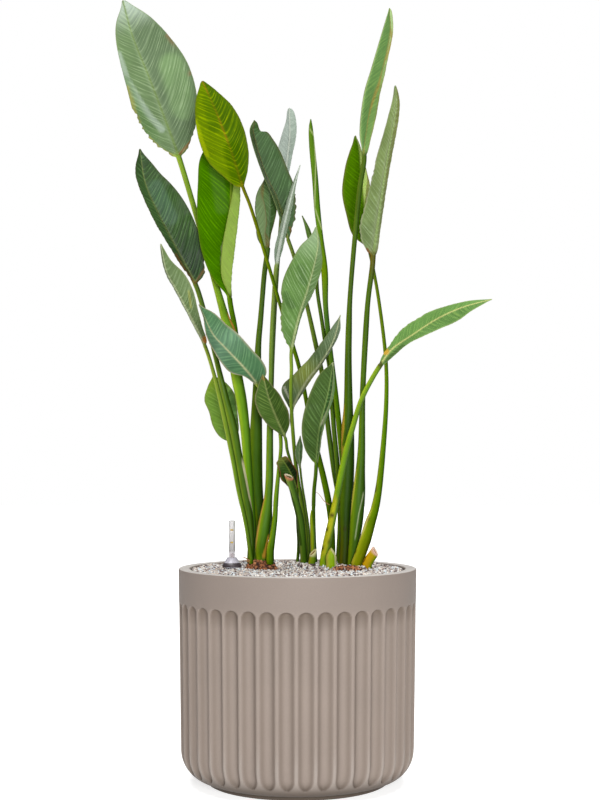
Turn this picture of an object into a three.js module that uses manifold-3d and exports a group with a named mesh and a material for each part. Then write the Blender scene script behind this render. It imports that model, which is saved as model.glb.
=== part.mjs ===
// Potted bird of paradise: a fluted planter filled with mineral granulate, a root ball with three
// crowns, 23 leaves on their own stalks, cut stalks and buds, and a water level gauge.
// Millimetres, +Z up, +X to the right, +Y away from the front. The origin is the centre of the
// planter's foot, on the ground.

import * as THREE from 'three';
import Module from 'manifold-3d';

const wasm = await Module();
wasm.setup();

// ---------------------------------------------------------------- driving dimensions

const PLANTER = {
  height: 386.5,
  radius: 215,
  rimWidth: 21,
  rimRound: 2.5,
  footRadius: 163,
  footHeight: 8,
  taper: 4, // how much narrower the wall is above the corner than at the rim
  cornerAcross: 48,
  cornerUp: 56,
  floorTop: 24,
  innerFloorRadius: 189,
  columnsPerFlute: 3,
};

const FLUTE = {
  count: 40,
  depth: 6.5,
  top: 328,
  bottom: 30,
  endLength: 14,
  firstCentre: 4, // degrees to the right of the front
};

const GRANULATE = {
  top: 384,
  grain: 3.4,
  highest: 1.2,
  gap: 0.5,
  rings: 13,
  sides: 72,
};

const ROOT_BALL = {
  centre: [18, 46],
  topRadius: 122,
  bottomRadius: 104,
  bottom: 130,
  top: 345,
  sides: 24,
  gap: 0.4,
};

// Crowns of the root ball, left, middle and right: centre, half widths along x and y, and top.
const CROWNS = [
  { centre: [-67, 43], half: [32, 52], top: 399 },
  { centre: [16, 66], half: [34, 54], top: 390 },
  { centre: [90, 30], half: [62, 60], top: 390 },
];

const GAUGE = {
  place: [-120.5, 40],
  tubeRadius: 6.05,
  bore: 4.5,
  top: 470,
  topWall: 2,
  collarRadius: 17.6,
  collarRim: 4,
  collarHeight: 17.5,
  floatRadius: 4,
  floatLength: 66,
  rodRadius: 1.2,
  headRadius: 3.1,
  headTop: 410,
  gap: 0.3,
  sides: 24,
};

// The stalks stand in plain holes in the crowns.
const FOOT = { depth: 36, rise: 2.5, gap: 0.4 };

const LEAF = {
  halfThickness: 0.6,
  ribTip: 0.7,
  ringSpacing: 24,
  sheathDepth: 0.4, // share of a wide stalk's extra width that it also has from front to back
  fewestRings: 7,
  mostRings: 11,
  joinEnd: 0.06, // share of the blade over which the round stalk flattens out
};

// Places on the leaves are read in the upright plane through the planter's axis, as a viewer in
// front of it sees them: x to the right, z up, then the depth behind that plane (negative is
// nearer). onSight moves such a place along the viewer's line of sight to its depth.
const VIEWER = new THREE.Vector3(4.5, -2855, 616);

// ---------------------------------------------------------------- the leaves

// root: foot of the stalk in the crown (x, y). footRadius: the stalk's radius there.
// stalk: places from above the foot to below the blade, each with the stalk's radius as seen from
//   the front. midrib: places from the blade's base to its tip.
// left and right: each half of the blade, looking towards the tip.
//   seen: distance of the margin from the midrib as seen from the front, at seven places that
//         lie closer together near the base and the tip; a negative one is folded across.
//   deep: how far the margin lies behind (or, negative, before) the midrib.
//   flap: the margin's place where the half is folded over along the seen line.
// keelFront: the thick side of the midrib faces the front, so the leaf's back is seen.
const LEAVES = {
  leaf_tall_left: {
    root: [-78, 50], footRadius: 7, keelFront: true,
    stalk: [
      [-80, 440, 53, 7], [-85, 510, 48, 7], [-91, 582, 37, 8], [-95, 637, 26, 8.8], [-102, 691, 12, 10], [-110, 733, 0, 10.4],
      [-122, 814, -8, 10], [-130, 836, -6, 8.2], [-143, 882, 6, 6.4], [-184, 1027, 24, 5],
    ],
    midrib: [[-215, 1130, 26], [-231, 1175, 20], [-267, 1270, 4], [-300, 1353, -16], [-317, 1415, -34]],
    left: { seen: [16, 39, 50, 45, 38, 27, 6], deep: 8 },
    right: { seen: [23, 48, 69, 75, 63, 43, 14], deep: 12 },
    wave: 3.5,
  },
  leaf_dark_left: {
    root: [-86, 32], footRadius: 6,
    stalk: [
      [-84, 437, 35, 6.6], [-88, 474, 32, 8], [-100, 546, 22, 8.2], [-110, 601, 12, 8.2], [-116, 637, 6, 8],
      [-130, 691, 0, 6.6], [-145, 755, -2, 4.7], [-173, 864, -2, 4.5],
    ],
    midrib: [[-185, 900, -2], [-213, 952, -6], [-249, 1021, -13], [-276, 1083, -22], [-286, 1146, -32]],
    left: { seen: [4, 7, 9, 12, 12, 13, 4], deep: -18 },
    right: { seen: [25, 39, 50, 53, 44, 25, 6], deep: -2 },
    wave: 2,
  },
  leaf_folded_green: {
    root: [-72, 83], footRadius: 6,
    stalk: [
      [-81, 492, 82, 6], [-92, 637, 62, 6.2], [-99, 691, 48, 6], [-105, 733, 32, 5.4], [-113, 818, 12, 4.8],
    ],
    midrib: [[-123, 874, -12], [-126, 963, -15], [-124, 1014, -16], [-121, 1085, -17], [-139, 1181, -18]],
    left: { seen: [8, 33, 50, 59, 59, 48, 15], deep: -8 },
    right: { seen: [3, 7, 14, 18, 17, 13, 3], deep: -9, flap: { seen: [-3, -13, -10, -2, 5, 8, 2], deep: -17 } },
    wave: 2,
  },
  leaf_pale_left: {
    root: [-84, 14], footRadius: 4.6, keelFront: true,
    stalk: [
      [-87, 428, 12, 3.6], [-95, 474, 8, 3.9], [-107, 528, 2, 4.1], [-115, 573, -4, 4.3], [-128, 637, -12, 4.5],
      [-140, 691, -20, 4.2], [-154, 746, -30, 3.4],
    ],
    midrib: [[-168, 789, -38], [-193, 840, -48], [-220, 891, -58], [-237, 923, -64], [-248, 974, -74]],
    left: { seen: [2, 3, 3, 3, 3, 3, 2], deep: 18 },
    right: { seen: [7, 10, 17, 26, 25, 11, 3], deep: 6 },
    wave: 2,
  },
  leaf_round_low: {
    root: [-87, 68], footRadius: 4.5,
    stalk: [
      [-95, 483, 72, 4], [-104, 537, 75, 3.6], [-111, 579, 78, 3.3],
    ],
    midrib: [[-117, 612, 80], [-130, 646, 86], [-142, 691, 94], [-153, 737, 102]],
    left: { seen: [6, 18, 24, 24, 27, 15, 3], deep: 6 },
    right: { seen: [7, 19, 25, 29, 30, 20, 4], deep: 10 },
    wave: 3,
  },
  leaf_rolled_teal: {
    root: [-60, 62], footRadius: 8,
    stalk: [
      [-68, 474, 64, 10], [-75, 528, 60, 12.6], [-76, 582, 52, 12.6], [-75, 637, 44, 11.2], [-73, 709, 34, 8.4],
      [-71, 791, 26, 5.6], [-67, 836, 24, 5], [-64, 873, 23, 4.7], [-60, 920, 23, 4.7],
    ],
    midrib: [[-54, 965, 25], [-52, 1000, 28], [-50, 1045, 32], [-55, 1112, 40]],
    left: { seen: [14, 23, 25, 29, 23, 7, 2], deep: -4, flap: { seen: [3, 6, 5, 9, 14, 6, 1], deep: -13 } },
    right: { seen: [2, 4, 9, 13, 12, 8, 2], deep: -6 },
    wave: 3,
  },
  leaf_silver_edge: {
    root: [-65, 26], footRadius: 9, keelFront: true,
    stalk: [
      [-66, 420, 21, 10.8], [-62, 452, 18, 12], [-57, 483, 18, 10.4], [-53, 515, 17, 7.6], [-51, 546, 15, 7.1],
      [-50, 637, 10, 5.9], [-48, 736, 2, 4.3], [-47, 791, -2, 4.3], [-43, 873, -12, 4],
    ],
    midrib: [[-38, 934, -22], [-30, 981, -28], [-15, 1045, -36], [-5, 1083, -40], [5, 1117, -44]],
    left: { seen: [4, 8, 7, 6, 5, 3, 1], deep: 20 },
    right: { seen: [3, 6, 7, 7, 5, 2, 1], deep: 22 },
    wave: 1,
  },
  leaf_silver_back: {
    root: [-48, 74], footRadius: 4.5, keelFront: true,
    stalk: [
      [-50, 492, 72, 4.4], [-48, 637, 66, 4.2], [-46, 746, 58, 4], [-39, 891, 52, 3.8], [-32, 990, 52, 3.6],
    ],
    midrib: [[-26, 1063, 52], [-19, 1126, 54], [-14, 1172, 56], [-15, 1220, 60]],
    left: { seen: [3, 7, 13, 19, 15, 7, 4], deep: 8 },
    right: { seen: [2, 4, 7, 9, 12, 12, 8], deep: 10 },
    wave: 1.5,
  },
  leaf_teal_front: {
    root: [-50, 12], footRadius: 7,
    stalk: [
      [-49, 419, 10, 6.9], [-46, 437, 8, 5.9], [-41, 474, 8, 4.8], [-39, 510, 12, 4.4], [-34, 564, 13, 3.5],
      [-30, 608, 8, 3.4], [-34, 646, -4, 3.8], [-48, 691, -24, 4.4],
    ],
    midrib: [[-72, 718, -42], [-97, 749, -62], [-133, 787, -90], [-153, 809, -106], [-179, 864, -140]],
    left: { seen: [3, 9, 24, 21, 12, 3, 1], deep: -8 },
    right: { seen: [24, 32, 32, 33, 30, 21, 5], deep: -12 },
    wave: 2.5,
  },
  leaf_blistered_centre: {
    root: [20, 86], footRadius: 5, keelFront: true,
    stalk: [
      [17, 456, 80, 4.4], [8, 505, 72, 4], [1, 543, 62, 3.7], [-5, 592, 40, 3.5], [-12, 697, -20, 3.3],
      [-11, 746, -50, 3.2],
    ],
    midrib: [[-11, 780, -66], [3, 844, -78], [19, 894, -85], [37, 972, -96], [34, 1005, -99]],
    left: { seen: [10, 27, 37, 46, 40, 28, 7], deep: 8 },
    right: { seen: [3, 4, 5, 12, 14, 5, 1], deep: 18 },
    wave: 2.5,
  },
  leaf_low_front: {
    root: [8, 92], footRadius: 4, keelFront: true,
    stalk: [
      [8, 465, 94, 3.4], [3, 515, 88, 3], [-6, 554, 70, 2.9], [-14, 583, 46, 2.8], [-19, 601, 20, 2.8],
    ],
    midrib: [[-22, 621, -4], [-37, 655, -36], [-53, 697, -70], [-63, 737, -94]],
    left: { seen: [3, 11, 21, 26, 24, 12, 3], deep: 8 },
    right: { seen: [2, 16, 24, 23, 18, 9, 2], deep: 8 },
    wave: 2,
  },
  leaf_low_slanting: {
    root: [16, 106], footRadius: 4, keelFront: true,
    stalk: [
      [10, 456, 107, 3.5], [3, 510, 106, 3.2], [-3, 564, 94, 3], [-8, 628, 60, 3],
    ],
    midrib: [[-10, 671, 24], [17, 726, 0], [37, 751, -10], [64, 796, -28], [78, 845, -44]],
    left: { seen: [11, 33, 25, 21, 18, 10, 2], deep: 10 },
    right: { seen: [2, 5, 6, 4, 4, 6, 1], deep: 16 },
    wave: 2.5,
  },
  leaf_low_dark: {
    root: [33, 82], footRadius: 4.5,
    stalk: [
      [30, 437, 79, 4], [29, 488, 68, 3.7], [30, 526, 52, 3.6], [33, 556, 34, 3.5],
    ],
    midrib: [[34, 575, 22], [39, 630, -6], [44, 657, -16], [55, 700, -28], [65, 759, -54]],
    left: { seen: [10, 23, 32, 34, 31, 22, 6], deep: 2 },
    right: { seen: [2, 5, 6, 9, 11, 7, 2], deep: -7, flap: { seen: [1, 3, 4, 5, 6, 4, 1], deep: -14 } },
    wave: 2,
  },
  leaf_small_folded: {
    root: [22, 71], footRadius: 2.6,
    stalk: [
      [20, 456, 60, 2.4], [14, 501, 50, 2.2], [8, 539, 40, 2.1],
    ],
    midrib: [[5, 566, 34], [3, 592, 28], [5, 626, 22]],
    left: { seen: [2, 3, 6, 8, 6, 3, 1], deep: -6 },
    right: { seen: [1, 2, 5, 6, 6, 3, 1], deep: -4 },
    wave: 0.5,
  },
  leaf_small_trimmed: {
    root: [0, 76], footRadius: 3,
    stalk: [
      [2, 430, 72, 3], [0, 465, 64, 2.8], [-1, 501, 50, 2.4],
    ],
    midrib: [[-1, 530, 34], [-15, 563, 8], [-30, 586, -12]],
    left: { seen: [5, 14, 18, 21, 17, 14, 12], deep: -4 },
    right: { seen: [2, 3, 7, 12, 11, 10, 9], deep: -5 },
    wave: 1,
  },
  leaf_yellow_green: {
    root: [65, 58], footRadius: 5, keelFront: true,
    stalk: [
      [62, 456, 56, 5.6], [57, 501, 54, 5.9], [48, 546, 51, 5.7], [37, 592, 48, 5], [24, 646, 44, 4],
      [5, 742, 32, 3.9], [-28, 851, -22, 3.3], [-57, 949, -52, 3.1], [-86, 1043, -68, 3],
    ],
    midrib: [[-99, 1076, -72], [-122, 1146, -80], [-155, 1230, -92], [-173, 1269, -99]],
    left: { seen: [13, 27, 44, 47, 40, 27, 9], deep: 10 },
    right: { seen: [6, 19, 30, 35, 31, 17, 6], deep: 14 },
    wave: 1.5,
  },
  leaf_grey_centre: {
    root: [76, 78], footRadius: 5,
    stalk: [
      [77, 492, 80, 5], [66, 564, 84, 5], [56, 637, 84, 4.8], [50, 691, 80, 4.6], [43, 746, 68, 4.4],
      [35, 782, 58, 4.5], [17, 862, 34, 3.9], [-6, 949, 12, 3.5],
    ],
    midrib: [[-17, 981, 8], [-44, 1059, 0], [-61, 1097, -3], [-82, 1157, -7], [-86, 1181, -8], [-78, 1198, -8]],
    left: { seen: [-1, -3, -6, -5, -6, -7, -4], deep: -24 },
    right: { seen: [8, 28, 41, 44, 43, 33, 15], deep: 6 },
    wave: 2,
  },
  leaf_small_narrow: {
    root: [78, 54], footRadius: 4.6,
    stalk: [
      [77, 480, 54, 4.6], [75, 528, 56, 4.6], [73, 564, 59, 4.5], [66, 637, 62, 4.4], [62, 691, 60, 4.2],
      [58, 749, 54, 4], [52, 782, 50, 3.8], [44, 835, 40, 3.6], [36, 887, 34, 3.4],
    ],
    midrib: [[34, 923, 28], [26, 972, 18], [17, 1005, 14], [8, 1025, 10]],
    left: { seen: [2, 3, 4, 5, 5, 3, 1], deep: -3 },
    right: { seen: [1, 2, 3, 4, 4, 2, 1], deep: -3 },
    wave: 0,
  },
  leaf_tall_right: {
    root: [85, 34], footRadius: 8,
    stalk: [
      [86, 437, 34, 8.8], [87, 492, 34, 11], [90, 546, 34, 12.4], [91, 601, 33, 12.2], [91, 640, 32, 11.6],
      [92, 673, 31, 8.8], [92, 764, 30, 6.4], [93, 818, 29, 5.8], [95, 873, 29, 4.6], [102, 963, 29, 4.5],
      [113, 1075, 34, 4.6],
    ],
    midrib: [[121, 1132, 38], [115, 1172, 42], [122, 1244, 48], [135, 1290, 51], [160, 1377, 57], [167, 1401, 58]],
    left: { seen: [-1, -10, -14, -19, -18, -13, -3], deep: -16 },
    right: { seen: [8, 20, 27, 27, 23, 19, 9], deep: 14 },
    wave: 1.5,
  },
  leaf_long_right: {
    root: [101, 24], footRadius: 8, keelFront: true,
    stalk: [
      [104, 440, 20, 10], [107, 470, 18, 11.8], [111, 520, 18, 11.8], [114, 564, 22, 8.6], [116, 601, 26, 6.9],
      [117, 650, 32, 5.8], [118, 700, 38, 5.2], [124, 818, 48, 5.3], [128, 873, 52, 4.7], [136, 935, 54, 5],
    ],
    midrib: [[137, 951, 54], [150, 1045, 50], [164, 1135, 43], [179, 1226, 32], [177, 1261, 27]],
    left: { seen: [15, 33, 29, 23, 16, 11, 4], deep: 12 },
    right: { seen: [7, 7, 7, 7, 8, 7, 4], deep: 20 },
    wave: 2,
  },
  leaf_green_back: {
    root: [107, 0], footRadius: 8,
    stalk: [
      [117, 419, 2, 10.2], [124, 440, 4, 10.4], [132, 468, 8, 9.6], [140, 492, 12, 7.8], [147, 528, 18, 6.4],
      [155, 601, 30, 5], [161, 691, 44, 4], [160, 764, 56, 3.5], [147, 873, 74, 3.2], [136, 935, 86, 3],
    ],
    midrib: [[130, 963, 94], [120, 1054, 100], [115, 1105, 103], [111, 1150, 106], [105, 1170, 108]],
    left: { seen: [7, 28, 35, 39, 31, 19, 7], deep: -6 },
    right: { seen: [2, 7, 13, 15, 10, 4, 1], deep: -8 },
    wave: 1.5,
  },
  leaf_arching_right: {
    root: [48, 12], footRadius: 8,
    stalk: [
      [50, 410, 11, 8.2], [55, 437, 9, 7.8], [63, 474, 5, 7], [70, 510, 0, 6.3], [79, 555, -6, 6],
      [89, 601, -14, 5.6], [99, 637, -20, 5], [116, 691, -28, 4.5], [138, 734, -36, 4.4],
    ],
    midrib: [[150, 753, -40], [170, 781, -45], [207, 807, -53], [251, 836, -63], [296, 857, -73], [353, 873, -85]],
    left: { seen: [5, 9, 21, 19, 12, 7, 2], deep: 8 },
    right: { seen: [6, 11, 9, 16, 19, 9, 2], deep: -10 },
    wave: 1.5,
  },
};

// Round pieces: the rolled leaf and the buds. along: places above the foot, with the radius there.
const ROUND_SHOOTS = {
  leaf_spear: {
    root: [92, 66], footRadius: 5,
    along: [
      [88, 510, 65, 5.2], [83, 564, 55, 5.2], [76, 637, 44, 5.2], [68, 709, 36, 5], [59, 782, 28, 4.8],
      [51, 860, 24, 4.8], [49, 923, 21, 6.2], [41, 990, 20, 5.2],
      [36, 1036, 20, 5.6], [32, 1090, 21, 5.6], [26, 1154, 22, 5.2], [24, 1185, 22, 3.6], [24, 1199, 22, 1],
    ],
  },
  bud_round: {
    root: [61, -6], footRadius: 8,
    along: [[61, 397, -6, 9.6], [61, 405, -6, 10], [61, 413, -6, 7], [61, 419, -6, 3.4], [61, 422, -6, 1]],
  },
  bud_spear: {
    root: [28, 59], footRadius: 3.4,
    along: [[27, 437, 56, 3.8], [26, 460, 54, 3.6], [25, 478, 52, 2.6], [25, 490, 51, 0.8]],
  },
};

// Cut stalks: hollow at the cut. tilt: how far the cut's far edge stands above its near edge.
const CUT_STALKS = {
  stalk_cut_tall: {
    root: [12, 58], footRadius: 6, tilt: [-0.8, 0.15],
    along: [
      [9, 437, 44, 6.8], [5, 474, 32, 6.9], [1, 492, 24, 6.6], [-4, 510, 16, 6.2], [-9, 528, 7, 5.9],
      [-16, 552, -6, 7.4],
    ],
  },
  stalk_cut_short: {
    root: [26, 34], footRadius: 6.5, tilt: [0.9, 0.5],
    along: [[27, 400, 33, 6.5], [28, 414, 32, 6.2]],
  },
  stalk_cut_yellow: {
    root: [126, -4], footRadius: 8.6, tilt: [-0.5, 0.2],
    along: [[128, 397, -5, 9], [141, 416, -9, 8.6]],
  },
};

const COLOURS = {
  planter: 0xa59889,
  granulate: 0xb9b2ac,
  root_ball: 0x8a5a38,
  gauge_tube: 0xd9dadc,
  gauge_collar: 0xc9c6d3,
  gauge_float: 0xb02818,
  leaf_tall_left: 0x8aa580,
  leaf_dark_left: 0x4b6946,
  leaf_folded_green: 0x508c1e,
  leaf_pale_left: 0x96aa87,
  leaf_round_low: 0x6f9650,
  leaf_rolled_teal: 0x5b8268,
  leaf_silver_edge: 0x9fb39f,
  leaf_silver_back: 0xbecdc3,
  leaf_teal_front: 0x558269,
  leaf_blistered_centre: 0x8caa78,
  leaf_low_front: 0x6b8f50,
  leaf_low_slanting: 0x7d9a7c,
  leaf_low_dark: 0x3f6636,
  leaf_small_folded: 0x5c8055,
  leaf_small_trimmed: 0x35561f,
  leaf_yellow_green: 0x6e8714,
  leaf_grey_centre: 0x5d8059,
  leaf_small_narrow: 0x4f7a30,
  leaf_tall_right: 0x78a064,
  leaf_long_right: 0x8ca073,
  leaf_green_back: 0x4b7300,
  leaf_arching_right: 0x6e965a,
  leaf_spear: 0x699646,
  bud_round: 0x86a520,
  bud_spear: 0x9fb428,
  stalk_cut_tall: 0x5f8a55,
  stalk_cut_short: 0x7f9c3c,
  stalk_cut_yellow: 0xc9a52c,
};

// ---------------------------------------------------------------- small helpers

const RING_POINTS = 10;
const TAU = 2 * Math.PI;
const radians = (degrees) => (degrees * Math.PI) / 180;
const mix = (a, b, share) => a + (b - a) * share;
const clamp = (value, low, high) => Math.min(high, Math.max(low, value));

function smooth(share) {
  const s = clamp(share, 0, 1);
  return s * s * (3 - 2 * s);
}

function onSight([x, z, depth]) {
  const reach = (depth - VIEWER.y) / -VIEWER.y;
  return new THREE.Vector3(mix(VIEWER.x, x, reach), depth, mix(VIEWER.z, z, reach));
}

// A repeatable value from 0 to 1 for a pair of counts.
function scatter(a, b) {
  const value = Math.sin(a * 127.1 + b * 311.7) * 43758.5453;
  return value - Math.floor(value);
}

// Value at share t of a list that starts and ends at 0 and lies closer together near both ends.
function alongList(list, t) {
  const full = [0, ...list, 0];
  const place = (Math.acos(1 - 2 * clamp(t, 0, 1)) / Math.PI) * (full.length - 1);
  const low = Math.min(Math.floor(place), full.length - 2);
  return mix(full[low], full[low + 1], place - low);
}

function bodyGeometry(points, faces) {
  const geometry = new THREE.BufferGeometry();
  const flat = points.flatMap((point) => [point.x, point.y, point.z]);
  geometry.setAttribute('position', new THREE.Float32BufferAttribute(flat, 3));
  geometry.setIndex(faces.flat());
  geometry.computeVertexNormals();
  return geometry;
}

function toSolid(geometry) {
  return new wasm.Manifold(new wasm.Mesh({
    numProp: 3,
    vertProperties: new Float32Array(geometry.attributes.position.array),
    triVerts: new Uint32Array(geometry.index.array),
  }));
}

function fromSolid(solid) {
  const mesh = solid.getMesh();
  const geometry = new THREE.BufferGeometry();
  geometry.setAttribute('position', new THREE.BufferAttribute(mesh.vertProperties, 3));
  geometry.setIndex(new THREE.BufferAttribute(mesh.triVerts, 1));
  geometry.computeVertexNormals();
  return geometry;
}

// Closed body through a stack of rings with equal numbers of points, each ring running
// anticlockwise seen from its far side. The ends close on a single point. The back cells are
// split along the same diagonal as the front ones, so that a waved blade's faces never cross.
function stackRings(rings, startPoint, endPoint, mirroredBack = false) {
  const count = rings[0].length;
  const points = [...rings.flat(), startPoint, endPoint];
  const faces = [];
  for (let ring = 0; ring < rings.length - 1; ring += 1) {
    for (let i = 0; i < count; i += 1) {
      const next = (i + 1) % count;
      const a = ring * count + i;
      const b = ring * count + next;
      const c = (ring + 1) * count + next;
      const d = (ring + 1) * count + i;
      if (mirroredBack && i >= count / 2) faces.push([a, b, d], [b, c, d]);
      else faces.push([a, b, c], [a, c, d]);
    }
  }
  const start = points.length - 2;
  const end = points.length - 1;
  const last = (rings.length - 1) * count;
  for (let i = 0; i < count; i += 1) {
    const next = (i + 1) % count;
    faces.push([start, next, i], [end, last + i, last + next]);
  }
  return bodyGeometry(points, faces);
}

// ---------------------------------------------------------------- routes and rings

// Height of the crown that a stalk stands in.
function crownTop(root) {
  const inside = ({ centre, half }) => (
    Math.hypot((root[0] - centre[0]) / half[0], (root[1] - centre[1]) / half[1]) < 1
  );
  return CROWNS.find(inside).top;
}

// The route from a foot in the crown through the given places. at(index) is the place number
// along it, and between() gives points at shares of the length between two places.
function makeRoute(root, places) {
  const foot = new THREE.Vector3(root[0], root[1], crownTop(root) + FOOT.rise);
  const curve = new THREE.CatmullRomCurve3([foot, ...places.map(onSight)], false, 'centripetal');
  const spans = places.length;
  const SAMPLES = 160;
  function between(from, to, shares) {
    const samples = [];
    for (let i = 0; i <= SAMPLES; i += 1) samples.push(curve.getPoint(mix(from, to, i / SAMPLES) / spans));
    const lengths = [0];
    for (let i = 1; i <= SAMPLES; i += 1) {
      lengths.push(lengths[i - 1] + samples[i].distanceTo(samples[i - 1]));
    }
    const total = lengths[SAMPLES];
    const places3d = shares.map((share) => {
      let i = 1;
      while (i < SAMPLES && lengths[i] < share * total) i += 1;
      const part = (share * total - lengths[i - 1]) / (lengths[i] - lengths[i - 1]);
      return mix(i - 1, i, clamp(part, 0, 1)) / SAMPLES;
    });
    return { total, at: places3d.map((part) => mix(from, to, part) / spans) };
  }
  return { foot, curve, between };
}

// Directions at a point of a route: along it, to the seen right and away from the viewer.
function frameAt(point, along) {
  const sight = point.clone().sub(VIEWER).normalize();
  const side = new THREE.Vector3().crossVectors(sight, along).normalize();
  const away = new THREE.Vector3().crossVectors(along, side).normalize();
  return { point, side, away };
}

function routeFrame(route, u) {
  return frameAt(route.curve.getPoint(u), route.curve.getTangent(u));
}

function place(frame, sideways, back) {
  return frame.point.clone().addScaledVector(frame.side, sideways).addScaledVector(frame.away, back);
}

// Outline of a stalk's section: front left edge, front, front right edge, then round the back.
// A wide one is flattened, as sheathing stalks are.
function stalkSection(radius) {
  const slim = 6;
  const back = radius <= slim ? radius : slim + (radius - slim) * LEAF.sheathDepth;
  return Array.from({ length: RING_POINTS }, (_, i) => {
    const angle = radians(198 + 36 * i);
    return [radius * Math.cos(angle), back * Math.sin(angle)];
  });
}

const ringFrom = (frame, section) => section.map(([sideways, back]) => place(frame, sideways, back));

function uprightFrame(root, z) {
  return {
    point: new THREE.Vector3(root[0], root[1], z),
    side: new THREE.Vector3(1, 0, 0),
    away: new THREE.Vector3(0, 1, 0),
  };
}

function footRings(root, radius) {
  const section = stalkSection(radius);
  return [
    ringFrom(uprightFrame(root, crownTop(root) - FOOT.depth), section),
    ringFrom(uprightFrame(root, crownTop(root) + FOOT.rise), section),
  ];
}

const footStart = (root) => new THREE.Vector3(root[0], root[1], crownTop(root) - FOOT.depth);

const evenShares = (count) => Array.from({ length: count }, (_, i) => (i + 1) / count);
const closeEndShares = (count) => evenShares(count).map((share) => (1 - Math.cos(Math.PI * share)) / 2);

// ---------------------------------------------------------------- leaf blades

// Section of one half from the midrib outwards: its middle and its margin.
function halfSection(half, t, wave) {
  const profile = Math.sin(Math.PI * clamp(t, 0.02, 0.98)) ** 0.6;
  const edge = [alongList(half.seen, t), half.deep * profile];
  const ripple = wave * Math.sin(TAU * 3.2 * t + half.deep) * profile;
  if (half.flap) {
    const margin = [alongList(half.flap.seen, t), half.flap.deep * profile];
    return [edge, margin];
  }
  return [[edge[0] * 0.52, edge[1] * 0.46], [edge[0], edge[1] + ripple]];
}

// Section of the blade at share t: left margin to right margin, thickened to front and back.
function bladeSection(leaf, t) {
  const left = halfSection(leaf.left, t, leaf.wave);
  const right = halfSection(leaf.right, t, leaf.wave);
  const sheet = [
    [-left[1][0], left[1][1]],
    [-left[0][0], left[0][1]],
    [0, 0],
    right[0],
    right[1],
  ];
  const rib = mix(leaf.stalk.at(-1)[3] * 0.8, LEAF.ribTip, t ** 0.7);
  const thick = sheet.map(([sideways, back], i) => {
    const before = sheet[Math.max(i - 1, 0)];
    const after = sheet[Math.min(i + 1, sheet.length - 1)];
    const run = [after[0] - before[0], after[1] - before[1]];
    const length = Math.hypot(run[0], run[1]) || 1;
    const normal = [run[1] / length, -run[0] / length];
    const middle = i === 2;
    const front = middle && leaf.keelFront ? rib : LEAF.halfThickness;
    const rear = middle && !leaf.keelFront ? rib : LEAF.halfThickness;
    return {
      front: [sideways + normal[0] * front, back + normal[1] * front],
      rear: [sideways - normal[0] * rear, back - normal[1] * rear],
    };
  });
  return [...thick.map((p) => p.front), ...thick.reverse().map((p) => p.rear)];
}

function mixSections(a, b, share) {
  return a.map((p, i) => [mix(p[0], b[i][0], share), mix(p[1], b[i][1], share)]);
}

function makeLeaf(leaf) {
  const route = makeRoute(leaf.root, [...leaf.stalk, ...leaf.midrib]);
  const base = leaf.stalk.length + 1;
  const tip = leaf.stalk.length + leaf.midrib.length;
  const places = leaf.stalk.length + leaf.midrib.length;
  const stalkEnd = leaf.stalk.at(-1)[3];
  const rings = footRings(leaf.root, leaf.footRadius);
  [...leaf.stalk.map((at) => at[3]), stalkEnd].forEach((radius, i) => {
    rings.push(ringFrom(routeFrame(route, (i + 1) / places), stalkSection(radius)));
  });

  const bladeLength = route.between(base, tip, [1]).total;
  const wanted = Math.round(bladeLength / LEAF.ringSpacing);
  const bladeShares = closeEndShares(clamp(wanted, LEAF.fewestRings, LEAF.mostRings)).slice(0, -1);
  route.between(base, tip, bladeShares).at.forEach((u, i) => {
    const t = bladeShares[i];
    const round = stalkSection(mix(stalkEnd, LEAF.ribTip, t));
    const section = mixSections(round, bladeSection(leaf, t), smooth(t / LEAF.joinEnd));
    rings.push(ringFrom(routeFrame(route, u), section));
  });
  return stackRings(rings, footStart(leaf.root), route.curve.getPoint(1), true);
}

// ---------------------------------------------------------------- round shoots and cut stalks

function makeShoot(shoot) {
  const route = makeRoute(shoot.root, shoot.along);
  const radii = [shoot.footRadius, ...shoot.along.map((place3) => place3[3])];
  const rings = footRings(shoot.root, shoot.footRadius);
  for (let i = 1; i < radii.length; i += 1) {
    rings.push(ringFrom(routeFrame(route, i / shoot.along.length), stalkSection(radii[i])));
  }
  const tip = routeFrame(route, 1);
  const end = tip.point.clone().addScaledVector(route.curve.getTangent(1), radii.at(-1));
  return stackRings(rings, footStart(shoot.root), end);
}

function makeCutStalk(stalk) {
  const HOLLOW = 0.62;
  const HOLLOW_DEPTH = 7;
  const route = makeRoute(stalk.root, stalk.along);
  const rings = footRings(stalk.root, stalk.footRadius);
  const last = stalk.along.length;
  const topRadius = stalk.along[last - 1][3];
  for (let i = 1; i < last; i += 1) {
    rings.push(ringFrom(routeFrame(route, i / last), stalkSection(stalk.along[i - 1][3])));
  }
  const along = route.curve.getTangent(1);
  const top = routeFrame(route, 1);
  const cutRing = (radius, sink) => stalkSection(radius).map(([sideways, back]) => (
    place(top, sideways, back).addScaledVector(along, sideways * stalk.tilt[0] + back * stalk.tilt[1] - sink)
  ));
  rings.push(cutRing(topRadius, 0));
  rings.push(cutRing(topRadius * HOLLOW, 0));
  rings.push(cutRing(topRadius * HOLLOW * 0.8, HOLLOW_DEPTH));
  const end = top.point.clone().addScaledVector(along, -HOLLOW_DEPTH - 0.5);
  return stackRings(rings, footStart(stalk.root), end);
}

// ---------------------------------------------------------------- planter

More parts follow.
